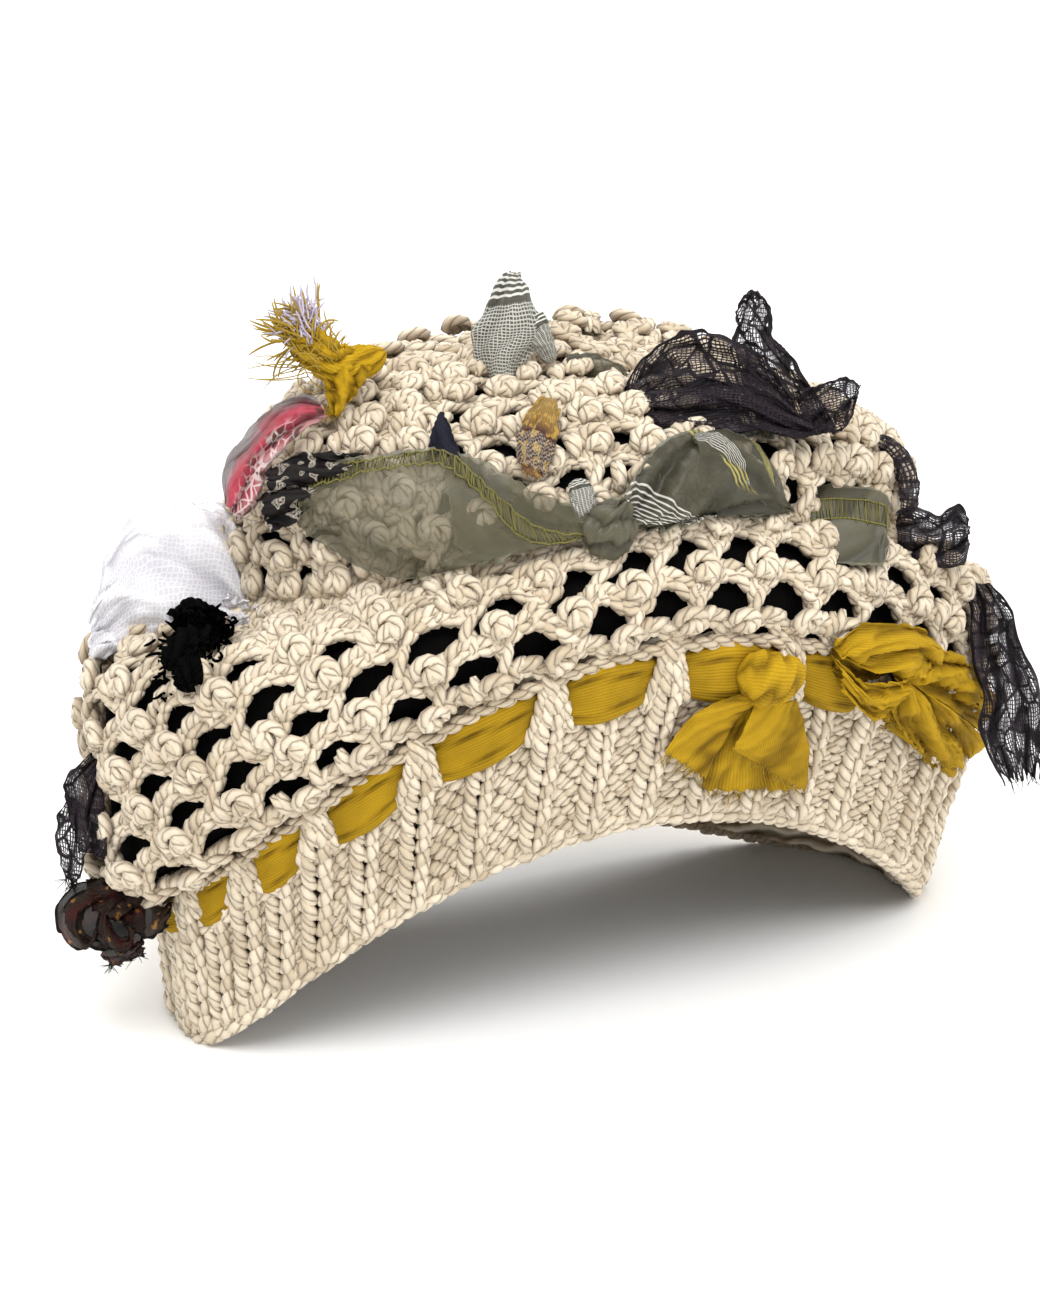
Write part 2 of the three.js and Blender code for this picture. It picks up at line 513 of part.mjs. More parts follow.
// Tied-on cloths. Rows run from the tied end outwards: across, up, lift or nearness, half
// width, fold. parts joins several sheets into one cloth, after names the pieces it clears.
const ORNAMENTS = [
  { name: 'ribbon_knot', material: 'mustard', parts: [
    { bundle: 3, thickness: 0, rows: [[66, 5, -1.5, 4, 3], [66.5, 0, -0.5, 7.5, 4.5],
      [67, -7, -0.5, 8, 4.5], [66, -12.5, -1.5, 5, 3]] }] },
  { name: 'ribbon_tail_left', material: 'mustard', after: ['ribbon_knot'], parts: [
    { rows: [[60, -10, -0.4, 4, 0.8], [53, -17, 0.6, 8.5, 1.4], [48, -25, 1.6, 11, 1.8],
      [45.5, -32, 2.4, 9.5, 1.4]] }] },
  { name: 'ribbon_tail_right', material: 'mustard', after: ['ribbon_knot', 'ribbon_tail_left'], parts: [
    { rows: [[67, -11, 2.2, 5, 0.8], [67.5, -19, 3.2, 10, 1.0], [68, -28, 4.6, 11, 1.4],
      [68.5, -35, 5.2, 9.5, 1.4]] }] },
  { name: 'mustard_rosette', material: 'mustard', parts: [
    { rows: [[87, 4, 1.4, 7, 3.2], [92, 2, 1.2, 11, 4], [100, -4, 0, 13, 3.4], [112, -13, -0.4, 14, 3]],
      waves: 2.6 },
    { root: [112, -11], rows: [[104, -8, -3, 8, 1.6], [118, -16, 0, 13, 2.2], [130, -22, -2, 9, 2.4],
      [134, -23, -4, 4, 1.2]], waves: 2.2 }] },
  { name: 'organza_knot', material: 'organza', parts: [
    { bundle: 2, thickness: 0, rows: [[16, 30, -1, 4, 2.2], [19, 34, 0, 7, 4], [21, 42, 0, 7, 4],
      [24, 48, -1, 4, 2.2]] }] },
  { name: 'organza_tail', material: 'organza', after: ['organza_knot'], parts: [
    { rows: [[15, 37, 0.4, 5, 1.4], [9, 35, 0, 9, 2], [-6, 34, 0, 15, 2], [-26, 35.5, 0, 15, 1.6],
      [-46, 36, 0, 11, 1.2], [-60, 36, 0, 6, 0.8]] }] },
  { name: 'organza_loop', material: 'organza', after: ['organza_knot'], parts: [
    { rows: [[25, 38, 0.4, 5, 1.6], [36, 41, 1, 11, 2.2], [51, 43, 1, 13, 2.4], [63, 45, 0, 10, 2],
      [72, 45, -0.3, 3, 1]] }] },
  { name: 'organza_strap', material: 'organza', after: ['lace_loop_back', 'lace_puff'], parts: [
    { rows: [[83, 38, -0.3, 9, 0.8], [90, 39, 0, 13, 1], [97, 39, 0, 12.5, 1], [102, 39.5, 0, 10, 0.8]] }] },
  { name: 'striped_tip', material: 'stripes', parts: [
    { root: [7, 78], rows: [[7, 76, 0, 3, 1], [4, 86, 3, 7.5, 2.4], [-3, 94, 3, 10, 3], [-6, 101, 2, 9, 3],
      [-2, 107.5, 1, 4.5, 1.6]], waves: 1.4 }] },
  { name: 'lace_bow', material: 'lace', parts: [
    { root: [68, 62], bundle: 2, rows: [[72, 58, -2, 4, 3], [76, 63, 1, 8, 6.5], [79, 69, 0, 7, 6],
      [80, 73, -2, 3, 3]] },
    { root: [68, 62], rows: [[75, 64, 4, 5, 0.6], [57, 72, 7, 13, 1.8], [34, 69, 7, 6, 1.4]] },
    { root: [68, 62], rows: [[77, 65, -3, 5, 0.6], [72, 80, -3, 10, 1.8], [66, 100, -2, 2.6, 1]] },
    { root: [68, 62], rows: [[78, 66, 1, 4, 0.6], [86, 68, 1, 7, 1.4], [94, 74, 0, 4, 1]] }] },
  { name: 'lace_loop_back', material: 'lace', parts: [
    { root: [98, 50], rows: [[96, 58, -14, 4, 1], [103, 59, -14, 5, 1.6], [108, 52, -14, 5, 1.6],
      [108, 43, -14, 4, 1]] }] },
  { name: 'lace_puff', material: 'lace', parts: [
    { root: [106, 28], rows: [[108, 31, -4, 4, 1.6], [113, 33, -3, 8, 2.8], [122, 35, -4, 9, 3],
      [127, 36, -5, 6, 2]], waves: 2.2 }] },
  { name: 'lace_strip', material: 'lace', parts: [
    { root: [120, 14], rows: [[127, 15, -12, 4, 1.4], [134, 3, -12, 7, 2], [138, -14, -12, 8, 2.2],
      [141, -28, -12, 8, 2], [140, -37, -12, 5.5, 1.4]], waves: 2.2 }] },
  { name: 'tulle_puff', material: 'tulle', after: ['black_tuft'], parts: [
    { root: [-80, 12], rows: [[-77, 12, 0, 10, 2], [-90, 20, 3, 19, 4], [-104, 21, 2, 20, 4.5],
      [-115, 14, 0, 15, 4], [-122, 4, -2, 7, 2]], waves: 2.4 }] },
  { name: 'black_tuft', material: 'lace', parts: [
    { bundle: 3, thickness: 0, rows: [[-93, 7, 0, 5, 3], [-92, 0, 0.5, 10, 5], [-94, -9, 0, 8, 4.5],
      [-96, -12.5, -0.5, 4, 2.5]] }] },
  { name: 'mustard_twist', material: 'mustard', parts: [
    { root: [-46, 78], bundle: 3, rows: [[-40, 81, -4, 3, 2], [-50, 82, 0, 6, 4], [-60, 86, 1, 6.5, 4],
      [-68, 90, 1, 6, 3.5], [-77, 94, 0, 5, 2.5]] },
    { root: [-46, 78], rows: [[-52, 82, 0, 4, 1], [-54, 74, 1, 4, 1], [-55, 67, 1, 2, 0.8]] }] },
  { name: 'pink_chiffon', material: 'pink', parts: [
    { root: [-70, 55], rows: [[-60, 72, -2, 3, 1], [-69, 64, 0, 7, 2], [-78, 54, 0, 8, 2.4],
      [-81, 42, -1, 4.5, 1.4]], waves: 2.2 }] },
  { name: 'print_knot', material: 'print', after: ['organza_tail'], parts: [
    { root: [-60, 46], rows: [[-47, 53, -3, 3, 1.4], [-56, 53, 0, 6, 2.4], [-67, 48, 0, 8, 3],
      [-75, 41, -1, 5, 1.6]], waves: 2 }] },
  { name: 'navy_tip', material: 'navy', parts: [
    { rows: [[-23, 51.5, 0, 4.5, 0.4], [-23, 56, 0, 3, 0.4], [-23, 60.5, 0, 1, 0.2]] }] },
  { name: 'gold_strip', material: 'gold', parts: [
    { rows: [[0, 49, 0, 3, 0.6], [3.5, 56, 0.4, 4.5, 1], [8, 63.5, 0, 2.6, 0.6]] }] },
  { name: 'olive_strip_back', material: 'organza', parts: [
    { rows: [[14, 80, 0, 2.4, 0.4], [22, 79, 0, 3.2, 0.6], [31, 77, 0, 2, 0.4]] }] },
  { name: 'olive_peek', material: 'organza', after: ['lace_bow'], parts: [
    { rows: [[53, 59, 0, 2.4, 0.4], [58, 59, 0, 3, 0.4], [64, 58, 0, 2.2, 0.4]] }] },
  { name: 'dark_rosette', material: 'lace', parts: [
    { root: [-95, -68], rows: [[-101, -73, -2, 5, 1.6], [-111, -75, 0, 11, 3.4], [-121, -75, -1, 12, 3.6],
      [-129, -75, -3, 8, 2.4]], waves: 2.6 }] },
  { name: 'lace_left', material: 'lace', parts: [
    { root: [-114, -45], rows: [[-120, -35, -6, 3.5, 1], [-124, -46, -6, 6, 1.8], [-126, -56, -6, 7, 2],
      [-127, -63, -6, 4, 1.2]], waves: 2 }] },
];

function withDefaults(part) {
  return { ...SHEET, ...part };
}

function ornamentSolid(ornament, grow = 0) {
  return ornament.parts.map((part) => clothSolid(withDefaults(part), grow))
    .reduce((whole, part) => whole.add(part));
}

function seatedSolid(ornament) {
  const neighbours = (ornament.after ?? []).map((name) => ORNAMENTS.find((entry) => entry.name === name));
  return neighbours.reduce(
    (solid, neighbour) => solid.subtract(ornamentSolid(neighbour, CUT_CLEARANCE)),
    ornamentSolid(ornament).subtract(capSeat),
  );
}

const cap = new THREE.Group();

function addPiece(name, geometry, material) {
  const mesh = new THREE.Mesh(geometry, new THREE.MeshStandardMaterial(MATERIALS[material]));
  mesh.name = name;
  mesh.position.set(-CENTRE_X, -CENTRE_Y, 0);
  cap.add(mesh);
}

addPiece('rib_band', toGeometry(makeBand()), 'yarn');
addPiece('band_ribbon', makeRibbon(), 'mustard');
addPiece('crown_net', domeSolid(NET_ANGLES, NET_LEVELS, KNIT_HALF, -KNIT_HALF, isNetGap), 'yarn');
addPiece('lining', domeSolid(LINING_ANGLES, LINING_LEVELS, LINING_OUT,
  LINING_OUT - LINING, () => false), 'lining');
ORNAMENTS.forEach((ornament) => {
  addPiece(ornament.name, toGeometry(seatedSolid(ornament)), ornament.material);
});

export default cap;
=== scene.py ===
"""Looks of the crochet cap: yarn stitches, lining, ribbon and tied-on cloths around the fixed frame."""
import math

import bmesh
import bpy
import numpy as np
from bpy.props import FloatProperty, FloatVectorProperty, IntProperty, PointerProperty
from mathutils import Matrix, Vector
from mathutils.bvhtree import BVHTree


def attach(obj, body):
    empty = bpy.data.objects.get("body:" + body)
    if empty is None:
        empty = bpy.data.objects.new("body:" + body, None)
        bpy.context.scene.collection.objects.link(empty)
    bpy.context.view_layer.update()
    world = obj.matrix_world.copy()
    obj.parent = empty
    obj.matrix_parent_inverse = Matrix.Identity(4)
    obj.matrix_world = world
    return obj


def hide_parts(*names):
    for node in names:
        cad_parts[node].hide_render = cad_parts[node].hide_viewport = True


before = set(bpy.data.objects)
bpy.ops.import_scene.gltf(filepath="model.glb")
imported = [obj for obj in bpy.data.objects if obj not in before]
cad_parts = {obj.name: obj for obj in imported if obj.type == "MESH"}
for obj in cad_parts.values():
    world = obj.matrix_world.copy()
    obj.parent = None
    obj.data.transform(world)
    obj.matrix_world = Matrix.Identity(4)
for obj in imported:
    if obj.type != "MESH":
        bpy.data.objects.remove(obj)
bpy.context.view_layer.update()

bl_info = {
    "name": "Crochet cap",
    "version": (1, 0, 0),
    "blender": (4, 5, 0),
    "location": "View3D > Sidebar > Cap",
    "description": "Stitches, lining, ribbon and tied-on cloths of a crochet cap",
    "category": "Object",
}

MM = 0.001
TURN = 2 * math.pi

# Sections through the middle of the knitted wall, in millimetres, from the rim to the crown's
# centre: left, right, front, back, their four heights, front and back rounding, back arch
SECTIONS = np.array([
    [-118, 111, -43, 59, 0, 0, 63, 21, 1.10, 0.75, 4.0],
    [-119, 118, -49, 65, 27, 24, 92, 42, 1.08, 0.78, 3.0],
    [-122, 125, -53, 69, 46, 47, 117, 62, 1.05, 0.82, 2.5],
    [-137, 132, -55, 75, 47, 57, 123, 72, 1.00, 0.90, 2.0],
    [-139, 134, -55, 79, 76, 73, 129, 88, 1.00, 0.95, 2.0],
    [-136, 132, -51, 77, 106, 95, 135, 107, 1.00, 1.00, 2.0],
    [-116, 117, -46, 71, 114, 103, 141, 118, 1.00, 1.00, 2.0],
    [-96, 105, -40, 66, 120, 109, 147, 127, 1.00, 1.00, 2.0],
    [-94, 105, -38, 63, 143, 130, 158, 147, 1.00, 1.00, 2.0],
    [-84, 95, -30, 58, 163, 147, 166, 165, 1.00, 1.00, 2.0],
    [-60, 63, -12, 47, 177, 163, 174, 178, 1.00, 1.00, 2.0],
    [4, 4, 17, 17, 179, 179, 179, 179, 1.00, 1.00, 2.0],
])
TOP_LEVEL = len(SECTIONS) - 1
CENTRE = np.array([9.3, -8.4, 0.0])
FRONT_ARCH = 1.8
UPRIGHT_HEIGHT = 104
RIM_DIP = 1.2
CHANNEL_LOW = 1.36
CHANNEL_HIGH = 1.95
COLLAR = 2.08
NECK = 6.5
LOOP_ANGLES = [0, 24, 46, 68, 90, 112, 134, 156, 174, 191, 206, 220, 236, 254, 270, 288, 305, 325, 343]

EYE_DISTANCE = 950
SIGHT_AZIMUTH = -24
SIGHT_ELEVATION = 22
SIGHT_PIVOT = np.array([-14.7, 7.1, 96.3]) + CENTRE


# ---- Surface of the cap ----

def section_columns(level):
    row = np.clip(np.floor(level).astype(int), 0, TOP_LEVEL - 1)
    t = (level - row)[..., None]
    before, start = SECTIONS[np.maximum(row - 1, 0)], SECTIONS[row]
    end, after = SECTIONS[row + 1], SECTIONS[np.minimum(row + 2, TOP_LEVEL)]
    return ((2 * t**3 - 3 * t**2 + 1) * start + (t**3 - 2 * t**2 + t) * (end - before) / 2
            + (3 * t**2 - 2 * t**3) * end + (t**3 - t**2) * (after - start) / 2)


def cap_points(angle, level):
    """Points on the middle of the knitted wall, in millimetres."""
    angle, level = np.broadcast_arrays(angle, level)
    (left, right, front, back, z_left, z_right, z_front, z_back,
     front_round, back_round, back_arch) = np.moveaxis(section_columns(level), -1, 0)
    across, along = np.cos(angle), np.sin(angle)
    upright = np.minimum(1, (z_left + z_right) / (2 * UPRIGHT_HEIGHT))
    middle = upright * (front + back) / 2
    side = z_left + (z_right - z_left) * (across + 1) / 2
    is_front = along < 0
    depth = np.abs(along)
    reach = np.where(is_front, front, back)
    far = np.where(is_front, z_front, z_back)
    x = (left + right) / 2 + across * (right - left) / 2
    y = middle + (reach - middle) * depth ** np.where(is_front, front_round, back_round)
    z = side + (far - side) * depth ** np.where(is_front, FRONT_ARCH, back_arch)
    return np.stack([x, y, z - RIM_DIP * np.maximum(0, 1 - level)], -1) + CENTRE


def unit(vectors):
    return vectors / np.maximum(np.linalg.norm(vectors, axis=-1, keepdims=True), 1e-9)


class CapSurface:
    """The cap's wall by angle and by length up the wall from the rim."""

    columns = 720
    samples = 400

    def __init__(self):
        angle = np.linspace(0, TURN, self.columns + 1)[:, None]
        self.levels = np.linspace(0, TOP_LEVEL, 1101)
        fine = cap_points(angle, self.levels[None])
        steps = np.linalg.norm(np.diff(fine, axis=1), axis=2)
        self.lengths = np.concatenate([np.zeros((len(angle), 1)), np.cumsum(steps, axis=1)], axis=1)
        share = np.linspace(0, 1, self.samples + 1)
        level = np.stack([np.interp(share * row[-1], row, self.levels) for row in self.lengths])
        self.point = cap_points(angle, level)
        wrapped = np.concatenate([self.point[-2:-1], self.point, self.point[1:2]])
        around = wrapped[2:] - wrapped[:-2]
        up = np.gradient(self.point, axis=1)
        normal = unit(np.cross(around, up))
        normal[:, -4:] = (0, 0, 1)
        for _ in range(3):
            normal[:, 1:-1] = (normal[:, :-2] + normal[:, 1:-1] + normal[:, 2:]) / 3
            padded = np.concatenate([normal[-3:-1], normal, normal[1:3]])
            normal = sum(padded[k:k + len(normal)] for k in range(5)) / 5
        self.normal = unit(normal)

    def mix(self, table, angle, share):
        a = (np.asarray(angle) / TURN % 1) * self.columns
        i = np.minimum(a.astype(int), self.columns - 1)
        b = np.clip(share, 0, 1) * (table.shape[1] - 1)
        j = np.minimum(b.astype(int), table.shape[1] - 2)
        fa, fb = a - i, b - j
        if table.ndim == 3:
            fa, fb = fa[..., None], fb[..., None]
        return ((table[i, j] * (1 - fa) + table[i + 1, j] * fa) * (1 - fb)
                + (table[i, j + 1] * (1 - fa) + table[i + 1, j + 1] * fa) * fb)

    def length_at(self, angle, level):
        angle, level = np.broadcast_arrays(angle, level)
        return self.mix(self.lengths, angle, level / TOP_LEVEL)

    def share(self, angle, length):
        return length / self.length_at(angle, float(TOP_LEVEL))

    def place(self, angle, length, lift=0.0):
        """Points and outward normals at a length up the wall, lifted off its middle."""
        angle, length, lift = np.broadcast_arrays(angle, length, lift)
        share = self.share(angle, length)
        normal = unit(self.mix(self.normal, angle, share))
        return self.mix(self.point, angle, share) + normal * lift[..., None], normal

    def per_radian(self, angle, length):
        step = 0.02
        share = self.share(angle, length)
        near, far = self.mix(self.point, angle - step, share), self.mix(self.point, angle + step, share)
        return np.maximum(np.linalg.norm(far - near, axis=-1) / (2 * step), 2.0)

    def even_angles(self, level, count):
        angle = np.linspace(0, TURN, 1441)
        ring = cap_points(angle, np.full_like(angle, level))
        length = np.concatenate([[0], np.cumsum(np.linalg.norm(np.diff(ring, axis=0), axis=1))])
        turns = np.arange(-2 * count, 4 * count + 1) / (2 * count)
        wrap = np.floor(turns)
        return turns, np.interp((turns - wrap) * length[-1], length, angle) + wrap * TURN


SURFACE = CapSurface()


# ---- Mesh arrays of yarn ----

class Strands:
    """Collects tubes of yarn and joins them as one mesh."""

    def __init__(self, seed):
        self.random = np.random.default_rng(seed)
        self.parts = []
        self.count = 0

    def add(self, centre, out, radius, sides=6, tint=None):
        """centre and out are (tubes, rings, 3), radius is (tubes, rings), all in millimetres."""
        tubes, rings = centre.shape[:2]
        tangent = unit(np.gradient(centre, axis=1))
        side = unit(np.cross(out, tangent))
        top = np.cross(tangent, side)
        turn = np.arange(sides) * TURN / sides
        ring = (np.cos(turn)[:, None] * side[:, :, None] + np.sin(turn)[:, None] * top[:, :, None])
        co = centre[:, :, None] + ring * np.broadcast_to(radius, (tubes, rings))[:, :, None, None]
        steps = np.linalg.norm(np.diff(centre, axis=1), axis=2)
        along = np.concatenate([np.zeros((tubes, 1)), np.cumsum(steps, axis=1)], axis=1)
        along = along + self.random.uniform(0, 50, (tubes, 1))
        i, j = np.meshgrid(np.arange(rings - 1), np.arange(sides), indexing="ij")
        k = (j + 1) % sides
        quads = np.stack([i * sides + j, i * sides + k, (i + 1) * sides + k, (i + 1) * sides + j], -1)
        quads = quads.reshape(-1, 4)
        base = np.arange(tubes)[:, None, None] * rings * sides + self.count
        cap = np.stack([np.arange(sides)[::-1], np.arange(sides) + (rings - 1) * sides])
        u = along[:, np.stack([i, i, i + 1, i + 1], -1).reshape(-1, 4)]
        v = np.broadcast_to(np.stack([j, j + 1, j + 1, j], -1).reshape(-1, 4) / sides, u.shape)
        cap_u = np.broadcast_to(along[:, [0, -1]][:, :, None], (tubes, 2, sides))
        cap_v = np.broadcast_to(cap % sides / sides, (tubes, 2, sides))
        if tint is None:
            tint = self.random.uniform(0, 1, tubes)
        self.parts.append({
            "co": co.reshape(-1, 3),
            "quads": (quads[None] + base).reshape(-1, 4),
            "caps": (cap[None] + base).reshape(-1, sides),
            "quad_uv": np.stack([u * MM, v], -1).reshape(-1, 2),
            "cap_uv": np.stack([cap_u * MM, cap_v], -1).reshape(-1, 2),
            "tint": np.repeat(tint, rings * sides),
        })
        self.count += tubes * rings * sides

    def triangles(self):
        return sum(len(p["quads"]) * 2 + len(p["caps"]) * (p["caps"].shape[1] - 2) for p in self.parts)

    def piece(self, name, material, slot, nodes):
        co = np.concatenate([p["co"] for p in self.parts]) * MM
        co[:, 2] = np.maximum(co[:, 2], 0)
        loops, sizes, uvs = [], [], []
        for p in self.parts:
            for faces, uv in ((p["quads"], p["quad_uv"]), (p["caps"], p["cap_uv"])):
                loops.append(faces.ravel())
                sizes.append(np.full(len(faces), faces.shape[1]))
                uvs.append(uv)
        loops, sizes = np.concatenate(loops), np.concatenate(sizes)
        mesh = bpy.data.meshes.new(name)
        mesh.vertices.add(len(co))
        mesh.vertices.foreach_set("co", co.astype(np.float32).ravel())
        mesh.loops.add(len(loops))
        mesh.loops.foreach_set("vertex_index", loops.astype(np.int32))
        mesh.polygons.add(len(sizes))
        starts = np.concatenate([[0], np.cumsum(sizes)[:-1]])
        mesh.polygons.foreach_set("loop_start", starts.astype(np.int32))
        mesh.update(calc_edges=True)
        mesh.uv_layers.new(name="UVMap").data.foreach_set("uv", np.concatenate(uvs).astype(np.float32).ravel())
        tint = mesh.attributes.new("tint", "FLOAT", "POINT")
        tint.data.foreach_set("value", np.concatenate([p["tint"] for p in self.parts]).astype(np.float32))
        mesh.shade_smooth()
        return settle(name, mesh, material, nodes)


def settle(name, mesh, material, nodes):
    """Puts a finished mesh in the scene and ties it to the frame."""
    piece = bpy.data.objects.new(name, mesh)
    bpy.context.scene.collection.objects.link(piece)
    mesh.materials.append(material)
    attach(piece, "root")
    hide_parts(*nodes)
    return piece


def path_frames(position, normal):
    """Side, out and length along paths (paths, samples, 3), for stitches set along them."""
    tangent = unit(np.gradient(position, axis=1))
    side = unit(np.cross(normal, tangent))
    out = np.cross(tangent, side)
    steps = np.linalg.norm(np.diff(position, axis=1), axis=2)
    length = np.concatenate([np.zeros((len(position), 1)), np.cumsum(steps, axis=1)], axis=1)
    return {"position": position, "tangent": tangent, "side": side, "out": out, "length": length}


def along_paths(paths, which, x, y, z):
    """World places of local (x along, y sideways, z outwards) points, each row on its own path."""
    length = paths["length"][which]
    samples = length.shape[1]
    total = length[:, -1:]
    share = x / total * (samples - 1)
    low = np.clip(share.astype(int), 0, samples - 2)
    row = which[:, None]
    span = np.take_along_axis(length, low + 1, 1) - np.take_along_axis(length, low, 1)
    # The samples are near enough even for one step of correction to find the place by length
    for _ in range(2):
        f = (x - np.take_along_axis(length, low, 1)) / span
        low = np.clip(low + np.where(f > 1, 1, np.where(f < 0, -1, 0)), 0, samples - 2)
        span = np.take_along_axis(length, low + 1, 1) - np.take_along_axis(length, low, 1)
    f = ((x - np.take_along_axis(length, low, 1)) / span)[..., None]
    mixed = {key: paths[key][row, low] * (1 - f) + paths[key][row, low + 1] * f
             for key in ("position", "side", "out")}
    return mixed["position"] + mixed["side"] * y[..., None] + mixed["out"] * z[..., None], unit(mixed["out"])


# Rings of a plait's leg: share along it, sideways, outwards and thickness, as shares of the
# plait's own half width, rise and strand radius
LEG_RINGS = np.array([
    [0.00, 0.18, -0.90, 0.45],
    [0.22, 0.42, 0.40, 0.98],
    [0.52, 0.82, 0.92, 1.10],
    [0.82, 1.03, 0.10, 0.95],
    [1.00, 0.80, -1.10, 0.45],
])


def plait(strands, paths, pitch, leg, half, rise, radius, taper=None, sides=6, lift=0.0):
    """Two columns of slanted stitch legs along each path, which meet in a V."""
    which, starts, signs = [], [], []
    for index, total in enumerate(paths["length"][:, -1]):
        count = max(int(round(total / pitch)), 1)
        start = np.arange(count) * total / count
        for sign in (-1, 1):
            which.append(np.full(count, index))
            starts.append(start + (0.0 if sign < 0 else 0.12 * pitch))
            signs.append(np.full(count, sign))
    which, starts, signs = (np.concatenate(items) for items in (which, starts, signs))
    wobble = strands.random.normal(0, 1, (4, len(which), 1))
    share, sideways, outwards, thick = LEG_RINGS.T[:, None]
    x = starts[:, None] + share * leg * (1 + 0.04 * wobble[0]) - 0.15 * leg
    narrow = 1.0 if taper is None else taper(x / paths["length"][which][:, -1:])
    y = signs[:, None] * sideways * half * narrow + 0.12 * wobble[1]
    z = outwards * rise + lift + 0.15 * wobble[2]
    centre, out = along_paths(paths, which, x, y, z)
    strands.add(centre, out, radius * thick * (1 + 0.05 * wobble[3]) * (0.75 + 0.25 * narrow), sides)


def strand_runs(strands, paths, rings, sides, radius, y, z, x=None):
    """One even strand along each path, offset sideways and outwards by functions of its share."""
    share = np.linspace(0, 1, rings)[None]
    which = np.arange(len(paths["length"]))
    along = share * paths["length"][:, -1:] if x is None else x
    centre, out = along_paths(paths, which, along, np.broadcast_to(y(share), along.shape),
                              np.broadcast_to(z(share), along.shape))
    thick = np.ones(rings)
    thick[[0, -1]] = 0.45
    strands.add(centre, out, radius * thick[None] * np.ones((len(which), 1)), sides)


# ---- Openwork crown ----

NET_PITCH_COUNT = 36
ROW_HEIGHT = 13.2
GARLAND = 5.0
LOWER_ROWS = 9
UPPER_RINGS = [38, 35, 31, 26, 20, 13, 5]
SIDE_SPACING = 15.0


class NetRow:
    """One row of the net: how far up the wall it runs, and its nodes by share of a turn."""

    def __init__(self, count, phase, length_of, level, height, runs_at):
        self.count, self.phase, self.length_of, self.height = count, phase, length_of, height
        self.runs_at = runs_at
        self.turns, self.angles = SURFACE.even_angles(level, 360)

    def angle(self, t):
        return np.interp((t + self.phase) / self.count, self.turns, self.angles)

    def where(self, angle):
        return np.interp(angle, self.angles, self.turns) * self.count - self.phase

    def frame(self, t):
        """Points on the wall along the row, the directions along, up and out, and millimetres to a radian."""
        points = []
        for step in (-0.06, 0.06, 0.0):
            angle = self.angle(t + step)
            point, out = SURFACE.place(angle, self.length_of(angle), 0 * angle)
            points.append(point)
        gap = points[1] - points[0]
        along = unit(gap)
        spread = np.linalg.norm(gap, axis=-1) / np.maximum(self.angle(t + 0.06) - self.angle(t - 0.06), 1e-6)
        return points[2], along, unit(np.cross(out, along)), out, spread

    def cord(self, angle):
        """Length up the wall of the garland cord at an angle."""
        t = self.where(angle)
        return self.length_of(angle) + self.height * (1 - np.cos(TURN * t)) / 2


def net_rows():
    """Rows of the lower tier, then rings of the upper one with half rows where its sides are long."""
    neck = lambda a: SURFACE.length_at(a, NECK)
    rise = lambda a: SURFACE.length_at(a, float(TOP_LEVEL)) - neck(a)
    rows = []
    for j in range(LOWER_ROWS):
        length_of = lambda a, o=2.0 + ROW_HEIGHT * j: SURFACE.length_at(a, 2.12) + o
        rows.append(NetRow(NET_PITCH_COUNT, 0.5 * (j % 2), length_of, 4.0, GARLAND,
                           lambda a, f=length_of: f(a) + 1 <= neck(a)))
    spans = len(UPPER_RINGS) + 0.3
    for j, count in enumerate(UPPER_RINGS):
        for half in (0.0, 0.5):
            share = (j + 0.15 + half) / spans
            rows.append(NetRow(
                count - int(5 * half), 0.5 * (j % 2) + 0.5 * half, lambda a, s=share: neck(a) + rise(a) * s,
                NECK + (TOP_LEVEL - NECK) * share, GARLAND * 0.9,
                lambda a, h=half: h == 0 or rise(a) / spans > SIDE_SPACING))
    return rows


def net_cells():
    """Every node of the net with the row that it stands on."""
    rows = net_rows()
    cells = []
    for index, row in enumerate(rows):
        for i in range(row.count):
            angle = float(row.angle(float(i)))
            if not row.runs_at(angle):
                continue
            below = next((r for r in rows[:index][::-1] if r.runs_at(angle)), None)
            cells.append((index, row, i, angle % TURN, below))
    return rows, cells


def filled(row, angle):
    """How likely the gap beside a bobble is worked over: mostly at the sides and the shoulder."""
    degrees = math.degrees(angle) % 360
    if row >= LOWER_ROWS:
        return 0.75
    if row >= 6:
        return 0.7
    if 160 < degrees < 222 or degrees > 318 or degrees < 20:
        return 0.72
    return 0.5 if 222 <= degrees < 252 else 0.2


